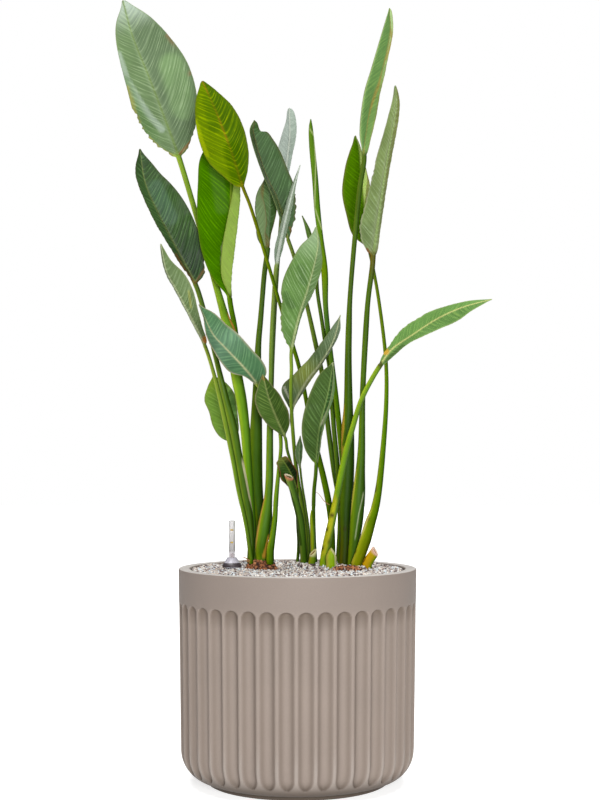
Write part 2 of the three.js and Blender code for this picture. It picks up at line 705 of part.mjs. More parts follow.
// Depth of the flutes at an angle and a height: concave across, with round ends.
function fluteDepth(angle, z) {
  const pitch = 360 / FLUTE.count;
  const fromCentre = (angle - FLUTE.firstCentre) / pitch;
  const across = Math.abs(fromCentre - Math.round(fromCentre)) * 2;
  const middle = (FLUTE.top + FLUTE.bottom) / 2;
  const straight = (FLUTE.top - FLUTE.bottom) / 2 - FLUTE.endLength;
  const intoEnd = clamp((Math.abs(z - middle) - straight) / FLUTE.endLength, 0, 1);
  const width = Math.sqrt(1 - intoEnd ** 2);
  if (width < 0.01) return 0;
  return FLUTE.depth * Math.max(0, 1 - (across / width) ** 2) * width;
}

function planterProfile() {
  const { height, radius, rimWidth, rimRound, footRadius, footHeight, taper, cornerAcross, cornerUp } = PLANTER;
  const wall = radius - taper;
  const rows = [[footRadius, 0], [footRadius + 0.5, footHeight - 1]];
  for (const degrees of [4, 18, 36, 54, 72, 90]) {
    const angle = radians(degrees);
    rows.push([wall - cornerAcross * (1 - Math.sin(angle)), footHeight + cornerUp * (1 - Math.cos(angle))]);
  }
  const low = footHeight + cornerUp;
  const lip = height - rimRound;
  for (const z of [FLUTE.top - FLUTE.endLength, FLUTE.top - FLUTE.endLength / 3, FLUTE.top, lip]) {
    rows.push([wall + taper * (z - low) / (lip - low), z]);
  }
  rows.push([radius - 0.3 * rimRound, height - 0.3 * rimRound]);
  rows.push([radius - rimRound, height], [radius - rimWidth + 2, height]);
  rows.push([radius - rimWidth, height - 2], [PLANTER.innerFloorRadius, PLANTER.floorTop]);
  return rows;
}

function innerRadius(z) {
  const share = (z - PLANTER.floorTop) / (PLANTER.height - 2 - PLANTER.floorTop);
  return mix(PLANTER.innerFloorRadius, PLANTER.radius - PLANTER.rimWidth, share);
}

function makePlanter() {
  const columns = FLUTE.count * PLANTER.columnsPerFlute;
  const rings = planterProfile().map(([r, z]) => Array.from({ length: columns }, (_, i) => {
    const angle = FLUTE.firstCentre + (i - PLANTER.columnsPerFlute / 2) * (360 / columns);
    const outside = r > PLANTER.footRadius + 2 && z < PLANTER.height - PLANTER.rimRound;
    const cut = outside && z < PLANTER.height - 20 ? fluteDepth(angle, z) : 0;
    const across = radians(angle - 90);
    return new THREE.Vector3((r - cut) * Math.cos(across), (r - cut) * Math.sin(across), z);
  }));
  return stackRings(rings, new THREE.Vector3(0, 0, 0), new THREE.Vector3(0, 0, PLANTER.floorTop));
}

// ---------------------------------------------------------------- root ball and granulate

function circleRing(centre, half, z, sides, phase = 0) {
  return Array.from({ length: sides }, (_, i) => {
    const angle = (TAU * (i + phase)) / sides;
    return new THREE.Vector3(centre[0] + half[0] * Math.cos(angle), centre[1] + half[1] * Math.sin(angle), z);
  });
}

function drum(centre, lowHalf, highHalf, low, high, sides) {
  const rings = [circleRing(centre, lowHalf, low, sides), circleRing(centre, highHalf, high, sides)];
  const [x, y] = centre;
  return toSolid(stackRings(rings, new THREE.Vector3(x, y, low), new THREE.Vector3(x, y, high)));
}

// The root ball with its crowns, grown outwards by the given amount.
function rootBallSolid(grow) {
  const { centre, topRadius, bottomRadius, bottom, top, sides } = ROOT_BALL;
  const low = [bottomRadius + grow, bottomRadius + grow];
  const high = [topRadius + grow, topRadius + grow];
  let solid = drum(centre, low, high, bottom - grow, top + grow, sides);
  for (const crown of CROWNS) {
    const [x, y] = crown.centre;
    const steps = [[3, top - 12], [2, crown.top - 12], [0, crown.top - 4], [-3, crown.top]];
    const rings = steps.map(([wider, z]) => (
      circleRing(crown.centre, crown.half.map((half) => half + wider + grow), z + (z > top ? grow : 0), sides)
    ));
    const ends = [top - 12, crown.top + grow].map((z) => new THREE.Vector3(x, y, z));
    solid = solid.add(toSolid(stackRings(rings, ends[0], ends[1])));
  }
  return solid;
}

function stalkFeet() {
  const shoots = [LEAVES, ROUND_SHOOTS, CUT_STALKS].flatMap((group) => Object.values(group));
  return shoots.map((shoot) => [shoot.root, shoot.footRadius]);
}

function makeRootBall() {
  let solid = rootBallSolid(0);
  for (const [root, radius] of stalkFeet()) {
    const section = stalkSection(radius + FOOT.gap);
    const heights = [crownTop(root) - FOOT.depth - FOOT.gap, crownTop(root) + 20];
    const rings = heights.map((z) => ringFrom(uprightFrame(root, z), section));
    const ends = heights.map((z) => new THREE.Vector3(root[0], root[1], z));
    solid = solid.subtract(toSolid(stackRings(rings, ends[0], ends[1])));
  }
  return fromSolid(solid);
}

// Height of the granulate's surface: coarse grains, level where the gauge's collar stands.
function granulateTop(x, y, ring, i) {
  const fromGauge = Math.hypot(x - GAUGE.place[0], y - GAUGE.place[1]);
  if (fromGauge < GAUGE.collarRadius + 14) return GRANULATE.top;
  return GRANULATE.top + GRANULATE.highest - GRANULATE.grain * scatter(ring, i);
}

function makeGranulate() {
  const { sides, rings: ringCount, gap } = GRANULATE;
  const low = PLANTER.floorTop + gap;
  const edge = GRANULATE.top - 3;
  const rings = [
    circleRing([0, 0], [innerRadius(low) - gap, innerRadius(low) - gap], low, sides),
    circleRing([0, 0], [innerRadius(edge) - gap, innerRadius(edge) - gap], edge, sides),
  ];
  for (let ring = ringCount; ring > 0; ring -= 1) {
    const r = (innerRadius(edge) - gap - 1) * (ring / ringCount);
    rings.push(circleRing([0, 0], [r, r], 0, sides, ring % 2 ? 0.5 : 0).map((p, i) => (
      p.setZ(granulateTop(p.x, p.y, ring, i))
    )));
  }
  const centre = new THREE.Vector3(0, 0, GRANULATE.top);
  let solid = toSolid(stackRings(rings, new THREE.Vector3(0, 0, low), centre));
  solid = solid.subtract(rootBallSolid(ROOT_BALL.gap));
  const hole = GAUGE.tubeRadius + GAUGE.gap;
  return fromSolid(solid.subtract(drum(GAUGE.place, [hole, hole], [hole, hole], 0, 500, GAUGE.sides)));
}

// ---------------------------------------------------------------- water level gauge

function turned(profile) {
  const [x, y] = GAUGE.place;
  const geometry = new THREE.LatheGeometry(profile.map(([r, z]) => new THREE.Vector2(r, z)), GAUGE.sides);
  geometry.rotateX(Math.PI / 2);
  return geometry.translate(x, y, 0);
}

function makeGaugeTube() {
  const { tubeRadius, bore, top, topWall, gap } = GAUGE;
  const low = PLANTER.floorTop + gap;
  const roof = top - topWall;
  return turned([[0, roof], [bore, roof], [bore, low], [tubeRadius, low], [tubeRadius, top - 1], [tubeRadius - 1, top], [0, top]]);
}

function makeGaugeCollar() {
  const { tubeRadius, collarRadius, collarRim, collarHeight, gap } = GAUGE;
  const low = GRANULATE.top + gap;
  const bore = tubeRadius + gap;
  return turned([
    [bore, low], [collarRadius, low], [collarRadius, low + collarRim],
    [bore + 2.5, low + collarHeight], [bore, low + collarHeight], [bore, low],
  ]);
}

function makeGaugeFloat() {
  const { floatRadius, floatLength, rodRadius, headRadius, headTop, gap } = GAUGE;
  const low = PLANTER.floorTop + gap;
  return turned([
    [0, low], [floatRadius, low], [floatRadius, low + floatLength], [rodRadius, low + floatLength + 3],
    [rodRadius, headTop - 7], [headRadius, headTop - 6], [headRadius, headTop - 2], [1.6, headTop], [0, headTop],
  ]);
}

// ---------------------------------------------------------------- the object

const object = new THREE.Group();

function addPiece(name, geometry, roughness) {
  const material = new THREE.MeshStandardMaterial({ color: COLOURS[name], roughness, metalness: 0 });
  const mesh = new THREE.Mesh(geometry, material);
  mesh.name = name;
  object.add(mesh);
}

addPiece('planter', makePlanter(), 0.6);
addPiece('granulate', makeGranulate(), 0.9);
addPiece('root_ball', makeRootBall(), 1);
addPiece('gauge_tube', makeGaugeTube(), 0.2);
addPiece('gauge_collar', makeGaugeCollar(), 0.2);
addPiece('gauge_float', makeGaugeFloat(), 0.4);
for (const [name, leaf] of Object.entries(LEAVES)) addPiece(name, makeLeaf(leaf), 0.5);
for (const [name, shoot] of Object.entries(ROUND_SHOOTS)) addPiece(name, makeShoot(shoot), 0.5);
for (const [name, stalk] of Object.entries(CUT_STALKS)) addPiece(name, makeCutStalk(stalk), 0.6);

export default object;
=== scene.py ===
# Potted bird of paradise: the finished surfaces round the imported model.
# The object's lengths are in millimetres until make_piece() turns them into metres, and the floor's
# and the lamps' are in metres. +Z up, +X to the right, +Y away from the front, with the origin under
# the middle of the planter.

import math

import bpy
import numpy as np
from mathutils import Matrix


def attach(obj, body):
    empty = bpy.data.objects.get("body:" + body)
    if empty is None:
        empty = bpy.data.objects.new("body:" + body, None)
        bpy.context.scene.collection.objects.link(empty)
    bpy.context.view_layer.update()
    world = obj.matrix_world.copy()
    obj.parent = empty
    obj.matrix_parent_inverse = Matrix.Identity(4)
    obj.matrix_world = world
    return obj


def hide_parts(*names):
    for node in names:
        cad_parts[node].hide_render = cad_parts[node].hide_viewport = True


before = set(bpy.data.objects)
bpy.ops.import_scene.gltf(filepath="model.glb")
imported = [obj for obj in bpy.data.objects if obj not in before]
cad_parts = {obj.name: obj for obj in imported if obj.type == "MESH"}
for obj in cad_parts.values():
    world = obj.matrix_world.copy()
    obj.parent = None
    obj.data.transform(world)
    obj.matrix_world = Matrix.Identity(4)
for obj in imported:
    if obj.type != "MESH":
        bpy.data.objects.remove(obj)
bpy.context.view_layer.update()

MM = 0.001
TAU = 2 * math.pi
PLANT = "pot_and_plant"
FLOAT = "float"

# ---------------------------------------------------------------- driving dimensions

# Places on the leaves are read in the upright plane through the planter's axis, as a viewer in
# front of it sees them. The camera stands where that viewer stands.
VIEWER = np.array([4.5, -2855.0, 616.0])

PLANTER = {
    "height": 386.5, "radius": 214.95, "rim_width": 21, "rim_round": 2.5, "foot_radius": 163,
    "foot_height": 8, "taper": 4, "corner_across": 48, "corner_up": 56, "floor_top": 24, "inner_floor": 189,
}
# The rim colour is a painted highlight on the rim's top, the groove colour painted shade in the flutes, the
# under colour painted shade under the corner and on the foot, and the last colour a painted reflection on
# the edges low between the flutes.
PLANTER_COLOURS = {
    "wall": (164, 150, 140), "band": (154, 141, 132), "rim": (226, 220, 215), "under": (104, 92, 82),
    "groove": (122, 108, 96), "low_edge_reflection": (190, 182, 175),
}
# first: the middle of one flute, in degrees. share: a flute's part of its pitch.
FLUTE = {
    "count": 40, "depth": 10, "top": 328, "bottom": 24, "top_end": 12, "bottom_end": 18, "first": 4,
    "share": 0.86, "columns": 16,
}
FILL = {
    "top": 384, "radius": 192.5, "edge_radius": 191.5, "edge_top": 380.5, "spacing": 3.9,
    "grain": (3.4, 6.0), "bed_colour": (92, 78, 76),
}
CROWNS = [
    {"centre": (-67, 43), "half": (32, 52), "top": 399},
    {"centre": (16, 66), "half": (34, 54), "top": 390},
    {"centre": (90, 30), "half": (62, 60), "top": 390},
]
CROWN_LOW = 150
CROWN_COLOUR = (96, 56, 36)
# Loose crumbs on the granulate over the front of the right crown.
CRUMB_PATCH = {"centre": (92, -22), "half": (26, 9), "radius": 30, "spacing": 3.2}
TWIG_COLOUR = (196, 140, 84)
# Two dry sticks at the left crown and a thread between the stalks: start, end and radius.
TWIGS = [
    ((-101, 10, 405), (-80, 14, 396), 1.6), ((-99, 12, 399), (-78, 14, 393), 1.2),
    ((33, 40, 523), (58, 44, 498), 0.8),
]
# marks: low edges of the printed marks, with their height and reach (share of a half turn).
GAUGE = {
    "place": (-120.5, 40), "tube": 6.05, "bore": 4.5, "top": 470, "collar": 17.6, "collar_rim": 4,
    "collar_height": 17.5, "collar_shade_height": 4, "float": 4, "float_length": 66, "rod": 1.2, "head": 3.1,
    "head_top": 410, "gap": 0.3, "marks": (428.5, 451.5), "mark_height": 2.6, "mark_reach": 0.14,
}
# rise: the stalks' feet over their crown. sunk: how far each skin goes on below its foot.
# join, paint_join: shares of the blade in which the stalk's shape and colour pass into it.
# sheath_depth: how much of a stalk's width over slim_stalk it also has from front to back.
LEAF = {
    "rise": 2.5, "sunk": 9, "half_thickness": 0.42, "margin_thickness": 0.26, "rib_tip": 0.7,
    "slim_stalk": 6, "sheath_depth": 0.4, "join": 0.022, "paint_join": 0.05,
}
# Side veins: they leave the midrib at a slant and arch towards the tip.
VEIN = {"slant": 0.75, "arch": 0.006, "spacing": 8.2, "relief": 0.35}
HALF_COLUMNS = 17
STALK_STEP = 7
BLADE_STEP = 2.6
# Upright surfaces get this much light, so paint that is to look as given is darker by as much.
LIGHT_LEVEL = 1.55

# ---------------------------------------------------------------- the leaves

# root: foot of the stalk in its crown (x, y). wave: how far the margin waves.
# stalk: places (x, z, depth) in the sight plane from above the foot up, each with its radius.
# midrib: places from the blade's base to its tip.
# left and right: each half of the blade, looking towards the tip.
#   seen: distance of the margin from the midrib as seen from the front, at seven places that
#         lie closer together near the base and the tip; a negative one is folded across.
#   deep: how far the margin lies behind (or, negative, before) the midrib.
#   flap: the margin's place where the half is folded over along the seen line.
#   ragged: stretches along the margin, from, to (shares) and how deep they are torn.
# keel_front: the thick side of the midrib faces the front, so the leaf's back is seen.
LEAVES = {
    "leaf_tall_left": dict(
        root=(-78, 50), keel_front=True, wave=3.5,
        stalk=[
            (-80, 440, 53, 7), (-85, 510, 48, 7), (-91, 582, 37, 8), (-95, 637, 26, 8.8),
            (-102, 691, 12, 10), (-110, 733, 0, 10.4), (-122, 814, -8, 10), (-130, 836, -6, 8.2),
            (-143, 882, 6, 6.4), (-184, 1027, 24, 5),
        ],
        midrib=[(-215, 1130, 26), (-231, 1175, 20), (-267, 1270, 4), (-300, 1353, -16), (-317, 1415, -34)],
        left=dict(seen=(16, 39, 50, 45, 37, 25, 6), deep=8, ragged=[(0.02, 0.38, 6)]),
        right=dict(seen=(23, 48, 69, 75, 63, 43, 14), deep=12, ragged=[(0.0, 0.14, 4)]),
    ),
    "leaf_dark_left": dict(
        root=(-86, 32), wave=2,
        stalk=[
            (-84, 437, 35, 6.6), (-88, 474, 32, 8), (-100, 546, 22, 8.2), (-110, 601, 12, 8.2),
            (-116, 637, 6, 8), (-130, 691, 0, 6.6), (-145, 755, -2, 4.7), (-173, 864, -2, 4.5),
        ],
        midrib=[(-185, 900, -2), (-213, 952, -6), (-249, 1021, -13), (-276, 1083, -22), (-286, 1146, -32)],
        left=dict(seen=(4, 7, 9, 12, 12, 13, 4), deep=-18, ragged=[(0.02, 0.14, 2)]),
        right=dict(seen=(25, 39, 50, 53, 44, 25, 6), deep=-2, ragged=[(0.0, 0.14, 4)]),
    ),
    "leaf_folded_green": dict(
        root=(-72, 83), wave=2,
        stalk=[
            (-81, 492, 82, 6), (-92, 637, 62, 6.2), (-99, 691, 48, 6), (-105, 733, 32, 5.4),
            (-113, 818, 12, 4.8),
        ],
        midrib=[
            (-123, 874, -12), (-126, 963, -15), (-124, 1014, -16), (-121, 1085, -17), (-139, 1181, -18),
        ],
        left=dict(seen=(8, 33, 50, 59, 59, 48, 15), deep=-8),
        right=dict(
            seen=(3, 7, 14, 18, 17, 13, 3), deep=-9, flap=dict(seen=(-3, -13, -10, -2, 5, 8, 2), deep=-17),
        ),
    ),
    "leaf_pale_left": dict(
        root=(-84, 14), keel_front=True, wave=2,
        stalk=[
            (-87, 428, 12, 3.6), (-95, 474, 8, 3.9), (-107, 528, 2, 4.1), (-115, 573, -4, 4.3),
            (-128, 637, -12, 4.5), (-140, 691, -20, 4.2), (-154, 746, -30, 3.4),
        ],
        midrib=[(-168, 789, -38), (-193, 840, -48), (-220, 891, -58), (-237, 923, -64), (-248, 974, -74)],
        left=dict(seen=(2, 3, 3, 3, 3, 3, 2), deep=18),
        right=dict(seen=(7, 10, 17, 26, 25, 11, 3), deep=6),
    ),
    "leaf_round_low": dict(
        root=(-87, 68), wave=3,
        stalk=[(-95, 483, 72, 4), (-104, 537, 75, 3.6), (-111, 579, 78, 3.3)],
        midrib=[(-117, 612, 80), (-130, 646, 86), (-142, 691, 94), (-153, 737, 102)],
        left=dict(seen=(6, 18, 24, 24, 27, 15, 3), deep=6),
        right=dict(seen=(7, 19, 25, 29, 30, 20, 4), deep=10),
    ),
    "leaf_rolled_teal": dict(
        root=(-60, 62), wave=3,
        stalk=[
            (-68, 474, 64, 10), (-75, 528, 60, 12.6), (-76, 582, 52, 12.6), (-75, 637, 44, 11.2),
            (-73, 709, 34, 8.4), (-71, 791, 26, 5.6), (-67, 836, 24, 5), (-64, 873, 23, 4.7),
            (-60, 920, 23, 4.7),
        ],
        midrib=[(-54, 965, 25), (-52, 1000, 28), (-50, 1045, 32), (-55, 1112, 40)],
        left=dict(
            seen=(14, 23, 25, 29, 23, 7, 2), deep=-4, flap=dict(seen=(3, 6, 5, 9, 14, 6, 1), deep=-13),
        ),
        right=dict(seen=(2, 4, 9, 13, 12, 8, 2), deep=-6),
    ),
    "leaf_silver_edge": dict(
        root=(-65, 26), keel_front=True, wave=1,
        stalk=[
            (-66, 420, 21, 10.8), (-62, 452, 18, 12), (-57, 483, 18, 10.4), (-53, 515, 17, 7.6),
            (-51, 546, 15, 7.1), (-50, 637, 10, 5.9), (-48, 736, 2, 4.3), (-47, 791, -2, 4.3),
            (-43, 873, -12, 4),
        ],
        midrib=[(-38, 934, -22), (-30, 981, -28), (-15, 1045, -36), (-5, 1083, -40), (5, 1117, -44)],
        left=dict(seen=(4, 8, 7, 6, 5, 3, 1), deep=20),
        right=dict(seen=(3, 6, 7, 7, 5, 2, 1), deep=22),
    ),
    "leaf_silver_back": dict(
        root=(-48, 74), keel_front=True, wave=1.5,
        stalk=[
            (-50, 492, 72, 4.4), (-48, 637, 66, 4.2), (-46, 746, 58, 4), (-39, 891, 52, 3.8),
            (-32, 990, 52, 3.6),
        ],
        midrib=[(-26, 1063, 52), (-19, 1126, 54), (-14, 1172, 56), (-15, 1220, 60)],
        left=dict(seen=(3, 7, 13, 19, 15, 7, 4), deep=8),
        right=dict(seen=(2, 4, 7, 9, 12, 12, 8), deep=10),
    ),
    "leaf_teal_front": dict(
        root=(-50, 12), wave=2.5,
        stalk=[
            (-49, 419, 10, 6.9), (-46, 437, 8, 5.9), (-41, 474, 8, 4.8), (-39, 510, 12, 4.4),
            (-34, 564, 13, 3.5), (-30, 608, 8, 3.4), (-34, 646, -4, 3.8), (-48, 691, -24, 4.4),
        ],
        midrib=[(-72, 718, -42), (-97, 749, -62), (-133, 787, -90), (-153, 809, -106), (-179, 864, -140)],
        left=dict(seen=(3, 9, 24, 21, 12, 3, 1), deep=-8),
        right=dict(seen=(24, 32, 32, 33, 30, 21, 5), deep=-12),
    ),
    "leaf_blistered_centre": dict(
        root=(20, 86), keel_front=True, wave=2.5,
        stalk=[
            (17, 456, 80, 4.4), (8, 505, 72, 4), (1, 543, 62, 3.7), (-5, 592, 40, 3.5),
            (-12, 697, -20, 3.3), (-11, 746, -50, 3.2),
        ],
        midrib=[(-11, 780, -66), (3, 844, -78), (19, 894, -85), (37, 972, -96), (34, 1005, -99)],
        left=dict(seen=(10, 27, 37, 46, 40, 28, 7), deep=8, ragged=[(0.0, 0.4, 4)]),
        right=dict(seen=(3, 4, 5, 12, 14, 5, 1), deep=18),
    ),
    "leaf_low_front": dict(
        root=(8, 92), keel_front=True, wave=2,
        stalk=[
            (8, 465, 94, 3.4), (3, 515, 88, 3), (-6, 554, 70, 2.9), (-14, 583, 46, 2.8),
            (-19, 601, 20, 2.8),
        ],
        midrib=[(-22, 621, -4), (-37, 655, -36), (-53, 697, -70), (-63, 737, -94)],
        left=dict(seen=(3, 11, 21, 26, 24, 12, 3), deep=8),
        right=dict(seen=(2, 16, 24, 23, 18, 9, 2), deep=8),
    ),
    "leaf_low_slanting": dict(
        root=(16, 106), keel_front=True, wave=2.5,
        stalk=[(10, 456, 107, 3.5), (3, 510, 106, 3.2), (-3, 564, 94, 3), (-8, 628, 60, 3)],
        midrib=[(-10, 671, 24), (17, 726, 0), (37, 751, -10), (64, 796, -28), (78, 845, -44)],
        left=dict(seen=(11, 33, 25, 21, 18, 10, 2), deep=10),
        right=dict(seen=(2, 5, 6, 4, 4, 6, 1), deep=16),
    ),
    "leaf_low_dark": dict(
        root=(33, 82), wave=2,
        stalk=[(30, 437, 79, 4), (29, 488, 68, 3.7), (30, 526, 52, 3.6), (33, 556, 34, 3.5)],
        midrib=[(34, 575, 22), (39, 630, -6), (44, 657, -16), (55, 700, -28), (65, 759, -54)],
        left=dict(seen=(10, 23, 32, 34, 31, 22, 6), deep=2),
        right=dict(seen=(2, 5, 6, 9, 11, 7, 2), deep=-7, flap=dict(seen=(1, 3, 4, 5, 6, 4, 1), deep=-14)),
    ),
    "leaf_small_folded": dict(
        root=(22, 71), wave=0.5,
        stalk=[(20, 456, 60, 2.4), (14, 501, 50, 2.2), (8, 539, 40, 2.1)],
        midrib=[(5, 566, 34), (3, 592, 28), (5, 626, 22)],
        left=dict(seen=(2, 3, 6, 8, 6, 3, 1), deep=-6),
        right=dict(seen=(1, 2, 5, 6, 6, 3, 1), deep=-4),
    ),
    "leaf_small_trimmed": dict(
        root=(0, 76), wave=1,
        stalk=[(2, 430, 72, 3), (0, 465, 64, 2.8), (-1, 501, 50, 2.4)],
        midrib=[(-1, 530, 34), (-15, 563, 8), (-30, 586, -12)],
        left=dict(seen=(5, 14, 18, 21, 17, 14, 12), deep=-4),
        right=dict(seen=(2, 3, 7, 12, 11, 10, 9), deep=-5),
    ),
    "leaf_yellow_green": dict(
        root=(65, 58), keel_front=True, wave=1.5,
        stalk=[
            (62, 456, 56, 5.6), (57, 501, 54, 5.9), (48, 546, 51, 5.7), (37, 592, 48, 5), (24, 646, 44, 4),
            (5, 742, 32, 3.9), (-28, 851, -22, 3.3), (-57, 949, -52, 3.1), (-86, 1043, -68, 3),
        ],
        midrib=[(-99, 1076, -72), (-122, 1146, -80), (-155, 1230, -92), (-173, 1269, -99)],
        left=dict(seen=(13, 27, 44, 47, 40, 27, 9), deep=10),
        right=dict(seen=(6, 19, 30, 35, 31, 17, 6), deep=14),
    ),
    "leaf_grey_centre": dict(
        root=(76, 78), wave=2,
        stalk=[
            (77, 492, 80, 5), (66, 564, 84, 5), (56, 637, 84, 4.8), (50, 691, 80, 4.6), (43, 746, 68, 4.4),
            (35, 782, 58, 4.5), (17, 862, 34, 3.9), (-6, 949, 12, 3.5),
        ],
        midrib=[
            (-17, 981, 8), (-44, 1059, 0), (-61, 1097, -3), (-82, 1157, -7), (-86, 1181, -8),
            (-78, 1198, -8),
        ],
        left=dict(seen=(-1, -3, -6, -5, -6, -7, -4), deep=-24),
        right=dict(seen=(8, 28, 41, 44, 43, 33, 15), deep=6, ragged=[(0.05, 0.4, 5)]),
    ),
    "leaf_small_narrow": dict(
        root=(78, 54), wave=0,
        stalk=[
            (77, 480, 54, 4.6), (75, 528, 56, 4.6), (73, 564, 59, 4.5), (66, 637, 62, 4.4),
            (62, 691, 60, 4.2), (58, 749, 54, 4), (52, 782, 50, 3.8), (44, 835, 40, 3.6),
            (36, 887, 34, 3.4),
        ],
        midrib=[(34, 923, 28), (26, 972, 18), (17, 1005, 14), (8, 1025, 10)],
        left=dict(seen=(2, 3, 4, 5, 5, 3, 1), deep=-3),
        right=dict(seen=(1, 2, 3, 4, 4, 2, 1), deep=-3),
    ),
    "leaf_tall_right": dict(
        root=(85, 34), wave=1.5,
        stalk=[
            (86, 437, 34, 8.8), (87, 492, 34, 11), (90, 546, 34, 12.4), (91, 601, 33, 12.2),
            (91, 640, 32, 11.6), (92, 673, 31, 8.8), (92, 764, 30, 6.4), (93, 818, 29, 5.8),
            (95, 873, 29, 4.6), (102, 963, 29, 4.5), (113, 1075, 34, 4.6),
        ],
        midrib=[
            (121, 1132, 38), (115, 1172, 42), (122, 1244, 48), (135, 1290, 51), (160, 1377, 57),
            (167, 1401, 58),
        ],
        left=dict(seen=(-1, -10, -14, -19, -18, -13, -3), deep=-16),
        right=dict(seen=(8, 20, 27, 27, 23, 19, 9), deep=14),
    ),
    "leaf_long_right": dict(
        root=(101, 24), keel_front=True, wave=2,
        stalk=[
            (104, 440, 20, 10), (107, 470, 18, 11.8), (111, 520, 18, 11.8), (114, 564, 22, 8.6),
            (116, 601, 26, 6.9), (117, 650, 32, 5.8), (118, 700, 38, 5.2), (124, 818, 48, 5.3),
            (128, 873, 52, 4.7), (136, 935, 54, 5),
        ],
        midrib=[(137, 951, 54), (150, 1045, 50), (164, 1135, 43), (179, 1226, 32), (177, 1261, 27)],
        left=dict(seen=(15, 33, 29, 23, 16, 11, 4), deep=12, ragged=[(0.08, 0.55, 3)]),
        right=dict(seen=(7, 7, 7, 7, 8, 7, 4), deep=20),
    ),
    "leaf_green_back": dict(
        root=(107, 0), wave=1.5,
        stalk=[
            (117, 419, 2, 10.2), (124, 440, 4, 10.4), (132, 468, 8, 9.6), (140, 492, 12, 7.8),
            (147, 528, 18, 6.4), (155, 601, 30, 5), (161, 691, 44, 4), (160, 764, 56, 3.5),
            (147, 873, 74, 3.2), (136, 935, 86, 3),
        ],
        midrib=[(130, 963, 94), (120, 1054, 100), (115, 1105, 103), (111, 1150, 106), (105, 1170, 108)],
        left=dict(seen=(7, 28, 35, 39, 31, 19, 7), deep=-6),
        right=dict(seen=(2, 7, 13, 15, 10, 4, 1), deep=-8),
    ),
    "leaf_arching_right": dict(
        root=(48, 12), wave=1.5,
        stalk=[
            (50, 410, 11, 8.2), (55, 437, 9, 7.8), (63, 474, 5, 7), (70, 510, 0, 6.3), (79, 555, -6, 6),
            (89, 601, -14, 5.6), (99, 637, -20, 5), (116, 691, -28, 4.5), (138, 734, -36, 4.4),
        ],
        midrib=[
            (150, 753, -40), (170, 781, -45), (207, 807, -53), (251, 836, -63), (296, 857, -73),
            (353, 873, -85),
        ],
        left=dict(seen=(5, 9, 21, 19, 12, 7, 2), deep=8, ragged=[(0.1, 0.5, 2)]),
        right=dict(seen=(6, 11, 9, 16, 19, 9, 2), deep=-10),
    ),
}

ROUND_SHOOTS = {
    "leaf_spear": dict(
        root=(92, 66),
        along=[
            (88, 510, 65, 5.2), (83, 564, 55, 5.2), (76, 637, 44, 5.2), (68, 709, 36, 5),
            (59, 782, 28, 4.8), (51, 860, 24, 4.8), (49, 923, 21, 6.2), (41, 990, 20, 5.2),
            (36, 1036, 20, 5.6), (32, 1090, 21, 5.6), (26, 1154, 22, 5.2), (24, 1185, 22, 3.6),
            (24, 1199, 22, 1),
        ],
    ),
    "bud_round": dict(
        root=(61, -6),
        along=[
            (61, 397, -6, 9.6), (61, 405, -6, 10), (61, 413, -6, 7), (61, 419, -6, 3.4), (61, 422, -6, 1),
        ],
    ),
    "bud_spear": dict(
        root=(28, 59),
        along=[(27, 437, 56, 3.8), (26, 460, 54, 3.6), (25, 478, 52, 2.6), (25, 490, 51, 0.8)],
    ),
}

CUT_STALKS = {
    "stalk_cut_tall": dict(
        root=(12, 58), tilt=(-0.8, 0.15),
        along=[
            (9, 437, 44, 6.8), (5, 474, 32, 6.9), (1, 492, 24, 6.6), (-4, 510, 16, 6.2), (-9, 528, 7, 5.9),
            (-16, 552, -6, 7.4),
        ],
    ),
    "stalk_cut_short": dict(
        root=(26, 34), tilt=(0.9, 0.5),
        along=[(27, 400, 33, 6.5), (28, 414, 32, 6.2)],
    ),
    "stalk_cut_yellow": dict(
        root=(126, -4), tilt=(-0.5, 0.2),
        along=[(128, 397, -5, 9), (141, 416, -9, 8.6)],
    ),
}

# Looks of each leaf. Colours are as on a screen, 0 to 255.
# left, right: the blade's halves. back: the hidden face.
# bands: colour, middle and reach along the blade (shares), share.
# edges: colour, side (-1 left, 1 right), reach in from the margin, share.
# halo: colour, reach from the midrib, share.
# stalk: stops from the foot up, each a height and the left, middle and right colours there; the left
# colour is painted light and the right one painted shade.
# lines, seams: see line() and lap(). cut: the colours of a cut end's rim, wall and hollow.


def line(colour, width, *path, share=0.8):
    """A painted line through places seen from the front (x, z), or a spot at a single place."""
    return dict(colour=colour, width=width, path=path, share=share)


def lap(colour, laps, *path, width=3.6, height=0.9, share=0.8):
    """The raised edge of a sheath, painted, that laps to its right (1) or left (-1)."""
    return dict(colour=colour, laps=laps, path=path, width=width, height=height, share=share)


